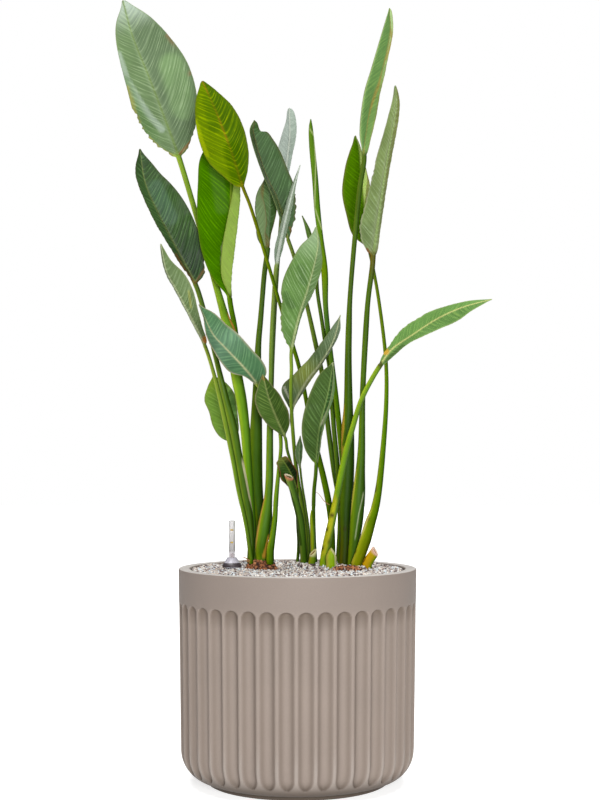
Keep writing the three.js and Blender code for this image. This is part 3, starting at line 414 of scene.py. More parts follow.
LOOKS = {
    "leaf_tall_left": dict(
        slot="leaf_grey_green", left=(111, 138, 91), right=(103, 127, 89), back=(89, 120, 68),
        rib=(107, 135, 52), rib_width=2.2, halo=((164, 185, 146), 7, 0.55), margin=(139, 157, 102),
        bands=[((206, 222, 206), 1.04, 0.26, 0.95)],
        stalk=[
            (390, (164, 200, 26), (91, 141, 7), (43, 82, 1)),
            (560, (171, 204, 36), (97, 147, 11), (45, 82, 3)),
            (820, (175, 208, 55), (112, 155, 26), (58, 93, 12)),
            (1060, (182, 208, 67), (130, 166, 43), (82, 115, 24)),
        ],
        lines=[
            # A painted sheen along the left margin towards the tip.
            line(
                (174, 192, 172), 8, (-325, 1317), (-309, 1271), (-289, 1235), (-267, 1203), (-246, 1181),
                share=0.7,
            ),
            line((100, 137, 78), 18, (-315, 1264), (-289, 1206), (-264, 1170), share=0.6),
            line((135, 170, 111), 30, (-228, 1297), (-206, 1221), share=0.6),
            line(
                (163, 159, 78), 4, (-307, 1257), (-298, 1226), (-291, 1199), (-280, 1175), (-264, 1159),
                (-249, 1145), (-228, 1134),
            ),
            line((148, 107, 78), 2.6, (-237, 1353), (-217, 1322), (-195, 1281), share=0.6),
            line((139, 100, 55), 3.6, (-189, 1163), (-213, 1137)),
        ],
        seams=[
            lap((191, 130, 56), -1, (-124, 844), (-118, 829), (-111.5, 815)),
        ],
    ),
    "leaf_dark_left": dict(
        slot="leaf_deep_green", left=(67, 98, 52), right=(52, 83, 35), back=(84, 105, 56),
        rib=(134, 145, 84), rib_width=2.2, margin=(84, 84, 53),
        bands=[((50, 75, 41), 1.0, 0.3, 0.8), ((38, 62, 37), 0.12, 0.35, 0.75)],
        stalk=[
            (390, (135, 162, 25), (70, 108, 6), (32, 60, 1)),
            (600, (143, 168, 40), (79, 116, 16), (38, 64, 6)),
            (880, (135, 159, 48), (79, 109, 24), (41, 67, 12)),
        ],
        lines=[
            line((75, 107, 79), 18, (-257, 1076), (-231, 1021), share=0.7),
            line((114, 84, 46), 3, (-220, 954), (-202, 923), (-186, 902), (-164, 934), share=0.7),
        ],
        seams=[
            lap((215, 208, 167), 1, (-99, 579), (-93, 550), (-86, 515), (-77, 483), (-72, 465)),
        ],
    ),
    "leaf_folded_green": dict(
        slot="leaf_bright_green", left=(64, 116, 0), right=(68, 116, 0), back=(145, 172, 78),
        rib=(150, 161, 56), rib_width=2.0, margin=(113, 129, 32), edges=[((161, 174, 97), 1, 16, 0.9)],
        stalk=[
            (390, (121, 150, 14), (65, 106, 3), (32, 61, 0)),
            (640, (130, 157, 24), (71, 114, 6), (37, 66, 2)),
            (860, (130, 164, 29), (78, 121, 9), (46, 76, 3)),
        ],
        lines=[
            line((79, 122, 35), 16, (-148, 1112), (-137, 1039), share=0.7),
            line((142, 158, 40), 8, (-124, 934), (-121, 891)),
            line(
                (172, 175, 129), 3.4, (-113, 1077), (-117, 1054), (-121, 1027), (-126, 996), (-135, 969),
                (-137, 936), share=0.9,
            ),
        ],
    ),
    "leaf_pale_left": dict(
        slot="leaf_grey_green", left=(112, 133, 85), right=(109, 132, 83), back=(91, 121, 68),
        rib=(163, 172, 132), rib_width=2.0, margin=(154, 161, 114),
        stalk=[
            (390, (141, 169, 23), (81, 119, 7), (40, 70, 2)),
            (560, (146, 173, 38), (90, 126, 16), (46, 76, 7)),
            (760, (165, 180, 62), (115, 138, 38), (73, 98, 23)),
        ],
        lines=[
            line((172, 172, 79), 3, (-197, 887), (-193, 858), share=0.5),
            line((193, 114, 35), 9, (-166, 800)),
        ],
    ),
    "leaf_round_low": dict(
        slot="leaf_mid_green", left=(124, 166, 62), right=(108, 153, 74), back=(110, 146, 80),
        rib=(170, 184, 90), rib_width=2.0, margin=(150, 150, 80), bands=[((150, 180, 30), 0.95, 0.3, 0.7)],
        stalk=[
            (390, (122, 150, 15), (65, 103, 3), (33, 63, 1)),
            (600, (131, 160, 31), (81, 121, 14), (43, 73, 5)),
        ],
        lines=[
            line((226, 146, 60), 8, (-106, 622)), line((206, 140, 60), 4, (-170, 802), (-162, 793)),
        ],
    ),
    "leaf_rolled_teal": dict(
        slot="leaf_teal_green", left=(94, 124, 72), right=(68, 98, 48), back=(119, 142, 96),
        rib=(119, 140, 103), rib_width=2.0, margin=(119, 92, 52),
        stalk=[
            (390, (117, 144, 9), (60, 96, 1), (28, 54, 0)), (520, (117, 145, 12), (60, 99, 2), (28, 55, 0)),
            (720, (114, 141, 30), (66, 102, 10), (33, 59, 3)),
            (960, (109, 131, 45), (70, 99, 27), (39, 62, 15)),
        ],
        lines=[
            line(
                (127, 103, 48), 3, (-63, 1081), (-63, 1063), (-68, 1045), (-70, 1032), (-63, 1023),
                (-57, 1010), (-63, 996), (-55, 985), (-55, 969), share=0.6,
            ),
        ],
        seams=[
            lap((176, 191, 121), -1, (-117, 583), (-104, 528), (-92, 474), (-84, 428), height=0.6),
        ],
    ),
    "leaf_silver_edge": dict(
        slot="leaf_silver", left=(179, 196, 170), right=(159, 181, 150), back=(113, 145, 101),
        rib=(194, 202, 189), rib_width=2.2, margin=(194, 202, 192),
        bands=[((132, 157, 132), 0.0, 0.5, 0.8)],
        stalk=[
            (390, (144, 171, 10), (79, 124, 2), (37, 70, 0)),
            (470, (148, 175, 12), (78, 126, 2), (37, 70, 0)),
            (620, (135, 164, 34), (81, 121, 16), (41, 70, 6)),
            (930, (162, 179, 79), (118, 141, 55), (73, 99, 33)),
        ],
        seams=[
            lap((219, 158, 56), 1, (-52, 441), (-57, 421), (-62, 405)),
            lap((215, 163, 74), 1, (-61, 515), (-68, 483), (-77, 428), (-82, 401)),
        ],
    ),
    "leaf_silver_back": dict(
        slot="leaf_silver", left=(185, 198, 187), right=(175, 191, 177), back=(114, 143, 111),
        rib=(202, 210, 196), rib_width=2.0, margin=(196, 204, 194),
        stalk=[
            (390, (112, 142, 19), (63, 100, 6), (30, 56, 1)),
            (700, (126, 152, 46), (78, 108, 22), (41, 67, 9)),
            (1040, (161, 175, 82), (116, 136, 58), (75, 96, 37)),
        ],
    ),
    "leaf_teal_front": dict(
        slot="leaf_teal_green", left=(78, 119, 81), right=(80, 122, 82), back=(121, 147, 93),
        rib=(199, 195, 149), rib_width=2.2, margin=(191, 173, 145),
        bands=[((115, 150, 124), 0.55, 0.3, 0.5)],
        stalk=[
            (390, (146, 178, 12), (83, 129, 2), (38, 73, 0)),
            (480, (154, 182, 23), (88, 133, 7), (43, 76, 1)),
            (700, (156, 178, 50), (107, 136, 29), (60, 88, 15)),
        ],
        seams=[
            lap((206, 186, 56), 1, (-52, 441), (-57, 423), (-63, 405)),
        ],
    ),
    "leaf_blistered_centre": dict(
        slot="leaf_grey_green", left=(98, 136, 67), right=(102, 136, 76), back=(93, 124, 65),
        rib=(163, 176, 121), rib_width=2.0, margin=(139, 149, 93), 
        bands=[((156, 180, 139), 1.0, 0.35, 0.85)],
        stalk=[
            (390, (147, 173, 38), (91, 127, 18), (48, 78, 7)),
            (600, (151, 175, 50), (98, 131, 29), (53, 82, 12)),
            (770, (161, 183, 61), (118, 146, 41), (75, 101, 23)),
        ],
        lines=[
            line((71, 104, 50), 10, (-21, 880), (-10, 862), share=0.6),
            line((76, 110, 56), 9, (5, 931), (12, 905), share=0.5),
        ],
    ),
    "leaf_low_front": dict(
        slot="leaf_mid_green", left=(71, 99, 39), right=(54, 80, 21), back=(67, 92, 39), rib=(128, 140, 82),
        rib_width=2.0, margin=(146, 137, 97),
        stalk=[
            (390, (141, 167, 31), (86, 124, 16), (45, 76, 6)),
            (620, (146, 169, 39), (91, 126, 22), (50, 81, 9)),
        ],
        lines=[
            line((153, 111, 45), 3, (-61, 728), (-70, 738), share=0.5),
        ],
    ),
    "leaf_low_slanting": dict(
        slot="leaf_grey_green", left=(90, 111, 72), right=(60, 82, 43), back=(85, 107, 65),
        rib=(162, 168, 128), rib_width=2.0, margin=(128, 136, 85),
        bands=[((128, 150, 119), 1.0, 0.4, 0.7), ((145, 155, 60), 0.35, 0.22, 0.6)],
        stalk=[
            (390, (122, 150, 31), (79, 114, 16), (41, 70, 7)),
            (660, (137, 160, 47), (90, 119, 27), (50, 76, 12)),
        ],
        lines=[
            line((194, 196, 175), 2.6, (-24, 713), (-19, 702), (-15, 693), share=0.9),
        ],
    ),
    "leaf_low_dark": dict(
        slot="leaf_deep_green", left=(68, 96, 39), right=(57, 94, 41), back=(102, 133, 82),
        rib=(143, 168, 92), rib_width=1.8, margin=(133, 143, 86), edges=[((194, 202, 149), 1, 4, 0.6)],
        stalk=[
            (390, (131, 160, 21), (76, 114, 9), (38, 66, 2)),
            (570, (122, 150, 28), (67, 103, 12), (35, 60, 5)),
        ],
        lines=[
            line((196, 202, 160), 2.6, (63, 760), (70, 737), (59, 682), (43, 646), share=0.6),
        ],
    ),
    "leaf_small_folded": dict(
        slot="leaf_teal_green", left=(94, 121, 77), right=(68, 97, 56), back=(82, 107, 71),
        rib=(145, 158, 111), rib_width=1.6, margin=(145, 150, 111),
        stalk=[
            (390, (108, 139, 25), (66, 99, 12), (35, 60, 5)),
            (560, (117, 141, 45), (76, 103, 27), (45, 67, 14)),
        ],
    ),
    "leaf_small_trimmed": dict(
        slot="leaf_deep_green", left=(51, 81, 23), right=(25, 40, 14), back=(72, 99, 54),
        rib=(117, 136, 54), rib_width=1.6, margin=(145, 81, 54), bands=[((136, 136, 54), 1.0, 0.25, 0.5)],
        stalk=[
            (390, (117, 144, 14), (61, 96, 5), (32, 56, 1)),
            (530, (99, 126, 25), (55, 81, 11), (29, 46, 5)),
        ],
    ),
    "leaf_yellow_green": dict(
        slot="leaf_olive_green", left=(101, 129, 5), right=(75, 108, 11), back=(112, 136, 52),
        rib=(140, 105, 21), rib_width=1.8, halo=((122, 148, 17), 5, 0.5), margin=(113, 113, 26),
        stalk=[
            (390, (121, 150, 14), (70, 106, 5), (34, 61, 0)),
            (640, (126, 156, 19), (75, 111, 6), (38, 67, 1)),
            (900, (130, 152, 24), (76, 109, 9), (46, 73, 2)),
            (1080, (138, 130, 24), (103, 106, 10), (64, 73, 3)),
        ],
        lines=[
            line((73, 108, 7), 14, (-162, 1235), (-151, 1184), share=0.6),
            line((153, 171, 9), 5, (-184, 1195), (-177, 1166), (-164, 1135)),
            line((61, 96, 0), 20, (-119, 1145), (-108, 1097), share=0.7),
        ],
    ),
    "leaf_grey_centre": dict(
        slot="leaf_teal_green", left=(183, 200, 121), right=(71, 100, 59), back=(85, 108, 61),
        rib=(176, 186, 120), rib_width=1.8, margin=(100, 80, 46), bands=[((48, 83, 15), 1.0, 0.12, 0.9)],
        stalk=[
            (390, (112, 143, 14), (60, 97, 2), (29, 55, 0)),
            (640, (121, 149, 29), (71, 106, 11), (35, 62, 3)),
            (980, (147, 162, 62), (100, 122, 40), (56, 79, 19)),
        ],
        lines=[
            line((71, 86, 3), 6, (-50, 1068), (-39, 1050), (-26, 1027), share=0.7),
            line((115, 85, 46), 3, (-1, 1068), (1, 1029), share=0.7),
            line((115, 85, 46), 3, (-14, 1003), (-8, 985), share=0.7),
        ],
    ),
    "leaf_small_narrow": dict(
        slot="leaf_mid_green", left=(82, 117, 43), right=(65, 99, 31), back=(71, 102, 48),
        rib=(111, 133, 68), rib_width=1.4, margin=(102, 111, 60),
        stalk=[
            (390, (112, 143, 14), (59, 95, 2), (29, 55, 0)),
            (640, (121, 149, 24), (70, 105, 9), (35, 62, 2)),
            (930, (104, 135, 29), (70, 101, 17), (38, 64, 7)),
        ],
    ),
    "leaf_tall_right": dict(
        slot="leaf_mid_green", left=(133, 166, 95), right=(128, 166, 91), back=(111, 153, 84),
        rib=(199, 219, 144), rib_width=2.0, margin=(166, 148, 77),
        bands=[((190, 222, 152), 1.0, 0.6, 0.95)],
        stalk=[
            (390, (112, 104, 12), (61, 76, 1), (29, 47, 0)), (480, (89, 118, 6), (46, 79, 0), (22, 47, 0)),
            (620, (104, 132, 12), (52, 89, 1), (25, 53, 0)),
            (800, (109, 134, 27), (64, 97, 10), (33, 58, 4)),
            (1130, (109, 131, 39), (75, 102, 25), (45, 70, 12)),
        ],
        lines=[
            line(
                (176, 150, 70), 2.6, (164, 1391), (171, 1344), (166, 1324), (153, 1293), (148, 1262),
                (137, 1233), (130, 1212), (124, 1193), (121, 1172), share=0.7,
            ),
            line((54, 51, 9), 5, (86, 456), share=0.7), line((54, 51, 9), 5, (93, 423)),
        ],
        seams=[
            lap((212, 182, 65), 1, (83, 604), (82, 573), (79, 546), width=4),
            lap((210, 167, 56), 1, (83, 682), (82, 637), (77, 601), width=3.4, height=0.5),
        ],
    ),
    "leaf_long_right": dict(
        slot="leaf_grey_green", left=(138, 159, 96), right=(126, 137, 71), back=(106, 133, 71),
        rib=(126, 152, 76), rib_width=2.4, halo=((196, 206, 166), 7, 0.5), margin=(196, 196, 160),
        edges=[((120, 116, 50), 1, 4, 0.6)], bands=[((110, 134, 84), 0.1, 0.4, 0.5)],
        stalk=[
            (390, (130, 156, 10), (67, 105, 2), (32, 61, 0)),
            (480, (126, 156, 10), (62, 103, 1), (29, 59, 0)),
            (650, (121, 152, 24), (70, 106, 10), (37, 64, 3)),
            (900, (104, 133, 24), (71, 103, 12), (41, 67, 5)),
            (940, (138, 130, 38), (95, 95, 22), (58, 61, 12)),
        ],
        lines=[
            line((130, 76, 44), 4, (126, 963), (131, 951)),
        ],
        seams=[
            lap((206, 195, 74), 1, (105, 564), (101, 528), (95, 483)),
            lap((102, 61, 28), -1, (71, 476), (75, 456), (80, 428), (84, 401), height=0.4),
            lap((191, 199, 158), 1, (119, 519), (111, 483), (104, 437), width=1.6, height=0.4, share=0.5),
        ],
    ),
    "leaf_green_back": dict(
        slot="leaf_bright_green", left=(75, 119, 3), right=(206, 232, 130), back=(90, 119, 49),
        rib=(122, 144, 41), rib_width=1.6, margin=(122, 106, 49), edges=[((106, 136, 24), -1, 7, 0.6)],
        stalk=[
            (390, (181, 181, 27), (131, 140, 11), (76, 84, 3)),
            (480, (168, 181, 31), (96, 131, 8), (45, 77, 1)),
            (640, (143, 173, 31), (80, 124, 12), (40, 72, 3)),
            (950, (152, 162, 42), (96, 122, 21), (59, 81, 8)),
        ],
        lines=[
            line((122, 73, 49), 2.6, (124, 1141), (128, 1090), (124, 1045), share=0.5),
            line((204, 186, 63), 9, (101, 437), (95, 398), share=0.7), line((99, 54, 22), 5.5, (126, 474)),
            line((99, 54, 22), 5.5, (111, 441)), line((54, 45, 18), 6, (139, 534), (139, 528)),
            line((54, 45, 18), 6, (102, 416), share=0.9),
        ],
        seams=[
            lap((214, 204, 111), 1, (131, 492), (119, 456), (101, 419), (95, 405), width=4),
        ],
    ),
    "leaf_arching_right": dict(
        slot="leaf_mid_green", left=(110, 154, 79), right=(103, 144, 75), back=(79, 114, 59),
        rib=(217, 213, 138), rib_width=1.8, margin=(158, 178, 108),
        stalk=[
            (390, (173, 207, 12), (126, 161, 16), (90, 116, 47)),
            (520, (169, 201, 23), (109, 151, 19), (78, 110, 39)),
            (760, (176, 201, 53), (115, 151, 27), (65, 97, 18)),
        ],
        lines=[
            line((223, 168, 55), 8, (151, 782), (160, 778)), line((55, 45, 20), 5, (150, 757), (150, 753)),
            line((69, 95, 49), 6, (162, 760), (177, 775), (191, 787), share=0.7),
            line((201, 192, 36), 10, (64, 510), (55, 459), (44, 414), share=0.7),
            line((51, 42, 18), 5, (63, 483), share=0.9), line((51, 42, 18), 5, (52, 456), share=0.9),
            line((51, 42, 18), 5.5, (44, 423), share=0.9), line((63, 51, 18), 4.5, (57, 436)),
        ],
    ),
    "leaf_spear": dict(
        slot="leaf_bright_green",
        stalk=[
            (390, (122, 156, 15), (65, 103, 3), (31, 60, 0)),
            (700, (131, 165, 31), (76, 115, 13), (40, 70, 5)),
            (840, (103, 141, 52), (67, 107, 36), (36, 68, 20)),
            (920, (150, 175, 21), (107, 141, 9), (60, 89, 2)),
            (1020, (122, 163, 43), (90, 134, 28), (51, 86, 13)),
            (1200, (122, 158, 41), (88, 127, 28), (55, 89, 16)),
        ],
        seams=[
            lap(
                (173, 186, 121), -1, (19, 1186), (30, 1170), (33, 1120), (31, 1040), (44, 1000), width=1.6,
                height=0.7,
            ),
        ],
    ),
    "bud_round": dict(
        slot="shoot_yellow_green",
        stalk=[
            (384, (210, 201, 76), (149, 186, 8), (102, 139, 2)),
            (405, (206, 199, 76), (150, 189, 10), (102, 145, 3)),
            (424, (199, 186, 61), (163, 182, 31), (121, 139, 15)),
        ],
        lines=[
            line((215, 206, 158), 3, (70, 392), (69, 410), (62, 420)),
        ],
    ),
    "bud_spear": dict(
        slot="shoot_yellow_green",
        stalk=[
            (390, (188, 186, 33), (149, 172, 10), (97, 128, 3)),
            (492, (181, 184, 33), (147, 172, 14), (98, 130, 7)),
        ],
    ),
    "stalk_cut_tall": dict(
        slot="leaf_teal_green",
        stalk=[
            (390, (133, 158, 42), (73, 112, 17), (37, 67, 6)),
            (480, (143, 171, 73), (73, 110, 29), (40, 71, 13)),
            (552, (143, 170, 73), (80, 114, 37), (50, 77, 20)),
        ],
        lines=[
            # A dark line of painted shade along the stalk's groove.
            line((36, 70, 9), 3.4, (-15, 525), (-6, 501), (1, 465), (6, 428)),
            line((54, 45, 27), 7, (-23, 554), (-10, 550), share=0.4),
        ],
        seams=[
            lap((158, 186, 158), -1, (-21, 525), (-12, 499), (-5, 465), (1, 428), width=2, height=0.5),
        ],
        cut=((196, 120, 90), (232, 224, 190), (120, 96, 60)),
    ),
    "stalk_cut_short": dict(
        slot="shoot_yellow_green",
        stalk=[
            (384, (186, 186, 40), (117, 154, 7), (69, 105, 1)),
            (420, (190, 186, 45), (126, 155, 14), (80, 112, 4)),
        ],
        cut=((240, 232, 176), (226, 216, 150), (150, 120, 60)),
    ),
    "stalk_cut_yellow": dict(
        slot="shoot_yellow_green",
        stalk=[
            (384, (238, 181, 15), (215, 168, 15), (118, 153, 6)),
            (420, (240, 187, 27), (196, 172, 15), (111, 149, 6)),
        ],
        lines=[
            line((67, 48, 19), 2, (120, 398), (121, 400)), line((67, 48, 19), 2, (123, 405), (124, 406)),
        ],
        cut=((236, 190, 170), (240, 214, 190), (180, 130, 90)),
    ),
}

# ---------------------------------------------------------------- small helpers


def linear(colour):
    """A screen colour, 0 to 255, as linear light."""
    share = np.asarray(colour, float) / 255
    return np.where(share <= 0.04045, share / 12.92, ((share + 0.055) / 1.055) ** 2.4)


def surface(colour):
    """The colour to paint, so that it looks like this screen colour in the studio's light."""
    return tuple(float(part) for part in linear(colour) / LIGHT_LEVEL)


def mix(a, b, share):
    return a + (b - a) * share


def smooth(share):
    share = np.clip(share, 0, 1)
    return share * share * (3 - 2 * share)


def on_sight(place):
    """A place read in the sight plane (x, z), moved along the line of sight to its depth."""
    x, z, depth = place[:3]
    reach = (depth - VIEWER[1]) / -VIEWER[1]
    return np.array([mix(VIEWER[0], x, reach), depth, mix(VIEWER[2], z, reach)])


def seen_from_front(points):
    """The sight plane places (x, z) of points in space."""
    reach = (points[..., 1] - VIEWER[1]) / -VIEWER[1]
    across = VIEWER[0] + (points[..., 0] - VIEWER[0]) / reach
    up = VIEWER[2] + (points[..., 2] - VIEWER[2]) / reach
    return np.stack([across, up], axis=-1)


def unit(vectors):
    return vectors / np.linalg.norm(vectors, axis=-1, keepdims=True)


def crown_top(root):
    for crown in CROWNS:
        across = (root[0] - crown["centre"][0]) / crown["half"][0]
        back = (root[1] - crown["centre"][1]) / crown["half"][1]
        if math.hypot(across, back) < 1:
            return crown["top"]
    return FILL["top"]


def curve_through(places, steps=24):
    """Samples of a smooth curve through places, whose first three numbers are x, y and z."""
    places = np.asarray(places, float)
    padded = np.vstack([2 * places[0] - places[1], places, 2 * places[-1] - places[-2]])
    share = np.linspace(0, 1, steps, endpoint=False)[:, None]
    samples = []
    for p0, p1, p2, p3 in zip(padded, padded[1:], padded[2:], padded[3:]):
        k0, k1, k2 = (math.sqrt(np.linalg.norm((b - a)[:3])) for a, b in ((p0, p1), (p1, p2), (p2, p3)))
        start = ((p1 - p0) / k0 - (p2 - p0) / (k0 + k1) + (p2 - p1) / k1) * k1
        finish = ((p2 - p1) / k1 - (p3 - p1) / (k1 + k2) + (p3 - p2) / k2) * k1
        square = -3 * p1 + 3 * p2 - 2 * start - finish
        cube = 2 * p1 - 2 * p2 + start + finish
        samples.append(p1 + start * share + square * share**2 + cube * share**3)
    samples.append(places[-1:])
    return np.vstack(samples)


def make_route(root, places):
    """The route from a foot in its crown through the places, each with a radius: its samples,
    the length up to each sample and the length up to each place."""
    steps = 24
    foot = [root[0], root[1], crown_top(root) + LEAF["rise"], places[0][3]]
    control = [foot] + [[*on_sight(place), place[3]] for place in places]
    samples = curve_through(control, steps)
    gaps = np.linalg.norm(np.diff(samples[:, :3], axis=0), axis=1)
    lengths = np.concatenate([[0], np.cumsum(gaps)])
    return samples, lengths, lengths[::steps]


def along_route(samples, lengths, wanted):
    """Points, radii and directions at the wanted lengths along a route."""
    at = lambda value: np.stack([np.interp(value, lengths, samples[:, i]) for i in range(4)], axis=-1)
    reach = 3.0
    here = at(wanted)
    ahead = at(np.minimum(wanted + reach, lengths[-1]))[:, :3]
    behind = at(np.maximum(wanted - reach, 0))[:, :3]
    return here[:, :3], here[:, 3], unit(ahead - behind)


def frames_at(points, along):
    """To the seen right and away from the viewer, square to the route."""
    side = unit(np.cross(unit(points - VIEWER), along))
    return side, unit(np.cross(along, side))


def eased_list(values, t):
    """Values at shares t of a list that starts and ends at 0, closer together near both ends."""
    full = np.array([0.0, *values, 0.0])
    place = np.arccos(1 - 2 * np.clip(t, 0, 1)) / math.pi * (len(full) - 1)
    low = np.clip(np.floor(place).astype(int), 0, len(full) - 2)
    padded = np.concatenate([[-full[1]], full, [-full[-2]]])
    share = place - low
    p0, p1, p2, p3 = (padded[low + i] for i in range(4))
    curve = 2 * p1 + (p2 - p0) * share + (2 * p0 - 5 * p1 + 4 * p2 - p3) * share**2
    return (curve + (-p0 + 3 * p1 - 3 * p2 + p3) * share**3) / 2


# ---------------------------------------------------------------- pieces


def make_piece(name, points, faces, material, nodes=(), body=PLANT, paint=None, place=None,
               flat=False):
    """A mesh piece from millimetre points that stands for the named nodes and rides on a body."""
    mesh = bpy.data.meshes.new(name)
    mesh.from_pydata((np.asarray(points, float) * MM).tolist(), [], faces)
    mesh.polygons.foreach_set("use_smooth", [not flat] * len(mesh.polygons))
    if paint is not None:
        colours = mesh.color_attributes.new("paint", "FLOAT_COLOR", "POINT")
        paint = np.clip(paint / LIGHT_LEVEL, 0, 1)
        rgba = np.concatenate([paint, np.ones((len(paint), 1))], axis=1).astype(np.float32)
        colours.data.foreach_set("color", rgba.ravel())
    if place is not None:
        spots = mesh.attributes.new("leaf_place", "FLOAT_VECTOR", "POINT")
        spots.data.foreach_set("vector", np.asarray(place, np.float32).ravel())
    mesh.validate()
    mesh.materials.append(material)
    piece = bpy.data.objects.new(name, mesh)
    bpy.context.scene.collection.objects.link(piece)
    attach(piece, body)
    if nodes:
        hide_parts(*nodes)
    return piece


def ring_faces(rings, count):
    """Quads between rings of count points, and both ends closed on a point after the rings."""
    faces = []
    for ring in range(rings - 1):
        base = ring * count
        for i in range(count):
            after = (i + 1) % count
            faces.append((base + i, base + after, base + count + after, base + count + i))
    start, last = rings * count, (rings - 1) * count
    faces += [(start, (i + 1) % count, i) for i in range(count)]
    return faces + [(start + 1, last + i, last + (i + 1) % count) for i in range(count)]


# ---------------------------------------------------------------- leaf shapes


def lateral_shares():
    """Shares of a half blade's width from its midrib to its margin."""
    shares = (np.arange(1, HALF_COLUMNS + 1) / HALF_COLUMNS) ** 1.2
    shares[-2] = mix(shares[-2], 1, 0.55)
    return shares


def torn(half, t, length):
    """How much of the margin is torn away in the ragged stretches of a half."""
    along = t * length
    teeth = 0.45 * np.abs(np.sin(along / 3.3)) + 0.35 * np.abs(np.sin(along / 5.9 + 1))
    teeth += 0.2 * np.abs(np.sin(along / 1.9))
    cut = np.zeros_like(t)
    for start, end, depth in half.get("ragged", []):
        cut += depth * teeth * smooth((t - start) / 0.03) * smooth((end - t) / 0.03)
    return cut


def half_sheet(half, wave, t, shares, length):
    """One half of the blade at shares t along it: across and back at each share of its width."""
    profile = np.sin(math.pi * np.clip(t, 0.02, 0.98))[:, None] ** 0.6
    seen = eased_list(half["seen"], t)[:, None]
    seen = np.sign(seen) * np.maximum(np.abs(seen) - torn(half, t, length)[:, None], 0.3)
    deep = half["deep"] * profile
    t = t[:, None]
    u = shares[None, :]
    turns = np.sin(TAU * 3.2 * t + half["deep"]) + 0.35 * np.sin(TAU * 8.3 * t + 1.7 * half["deep"])
    if "flap" not in half:
        ripple = wave * profile * turns
        return np.stack([seen * u, deep * (0.77 * u + 0.23 * u**2) + ripple * u**2], axis=-1)
    fold = 0.58
    edge = np.stack([seen, deep], axis=-1)
    margin_across = eased_list(half["flap"]["seen"], t[:, 0])[:, None]
    margin = np.stack([margin_across, half["flap"]["deep"] * profile], axis=-1)
    total = 0
    rounding = np.linspace(-0.06, 0.06, 7)
    for shift in rounding:
        v = np.clip(u + shift * np.minimum(1, 8 * u * (1 - u)), 0, 1)[..., None]
        inner = edge * np.minimum(v / fold, 1)
        total = total + inner + (margin - edge) * np.clip((v - fold) / (1 - fold), 0, 1)
    return total / len(rounding)


def blade_sheet(leaf, t, length):
    """The middle surface of the blade, left margin to right margin, in every ring at shares t."""
    shares = lateral_shares()
    left = half_sheet(leaf["left"], leaf["wave"], t, shares, length) * [-1, 1]
    right = half_sheet(leaf["right"], leaf["wave"], t, shares, length)
    return np.concatenate([left[:, ::-1], np.zeros((len(t), 1, 2)), right], axis=1)


def distances_across(sheet):
    """Signed distance from the midrib along each section, and distance to the nearer margin."""
    gaps = np.linalg.norm(np.diff(sheet, axis=1), axis=-1)
    run = np.concatenate([np.zeros((len(sheet), 1)), np.cumsum(gaps, axis=1)], axis=1)
    middle = run[:, HALF_COLUMNS : HALF_COLUMNS + 1]
    return run - middle, np.minimum(run, run[:, -1:] - run)


def vein_count(across, along, seed):
    """Which side vein a place lies on, counted from the blade's base."""
    away = np.abs(across)
    start = along - VEIN["slant"] * away - VEIN["arch"] * away**2
    uneven = 0.5 * np.sin(start / 31 + seed) + 0.3 * np.sin(start / 12 + 2 * seed)
    return start / VEIN["spacing"] + uneven + 0.4 * np.tanh(across / 4)


def plait(across, along, veins, seed, length):
    """The low folds along a blade's side veins."""
    folds = np.cos(TAU * veins) + 0.7 * np.sin(TAU * veins / 3.3 + seed)
    ends = smooth(along / 20) * smooth((length - along) / 40)
    return folds * ends * smooth(np.abs(across) / 6)


def blade_rings(leaf, t, length, seed):
    """Front and rear sections of the blade in its rings, with the leaf_place of each point."""
    sheet = blade_sheet(leaf, t, length)
    across, margin = distances_across(sheet)
    along = np.broadcast_to((t * length)[:, None], across.shape)
    run = np.gradient(sheet, axis=1)
    run = run / np.maximum(np.linalg.norm(run, axis=-1, keepdims=True), 1e-6)
    normal = np.stack([run[..., 1], -run[..., 0]], axis=-1)
    half_width = np.abs(across[:, -1:])
    thin = mix(LEAF["half_thickness"], LEAF["margin_thickness"], smooth(1 - margin / 4))
    rib = mix(leaf["stalk"][-1][3] * 0.8, LEAF["rib_tip"], t**0.7)[:, None]
    keel = rib * np.exp(-((across / (1.1 * rib + 0.4)) ** 2))
    groove = 0.35 * rib * np.exp(-((across / (0.8 * rib + 0.4)) ** 2))
    front, rear = (keel, groove) if leaf.get("keel_front") else (groove, keel)
    veins = vein_count(across, along, seed)
    relief = VEIN["relief"] * plait(across, along, veins, seed, length)
    relief = relief * np.minimum(1, half_width / 25)
    outer = sheet + normal * (thin + front + relief)[..., None]
    inner = sheet - normal * (thin + rear - relief)[..., None]
    place = np.stack([across, veins, margin], axis=-1)
    return outer, inner, place


def stalk_depth(radius):
    slim = LEAF["slim_stalk"]
    return np.where(radius <= slim, radius, slim + (radius - slim) * LEAF["sheath_depth"])


def round_rings(radius):
    """Front and rear sections of a stalk with these radii, left to right."""
    columns = 2 * HALF_COLUMNS + 1
    angle = -math.pi / 2 + (np.arange(columns) + 0.5) * math.pi / columns
    across = radius[:, None] * np.sin(angle)
    back = stalk_depth(radius)[:, None] * np.cos(angle)
    return np.stack([across, -back], axis=-1), np.stack([across, back], axis=-1), angle


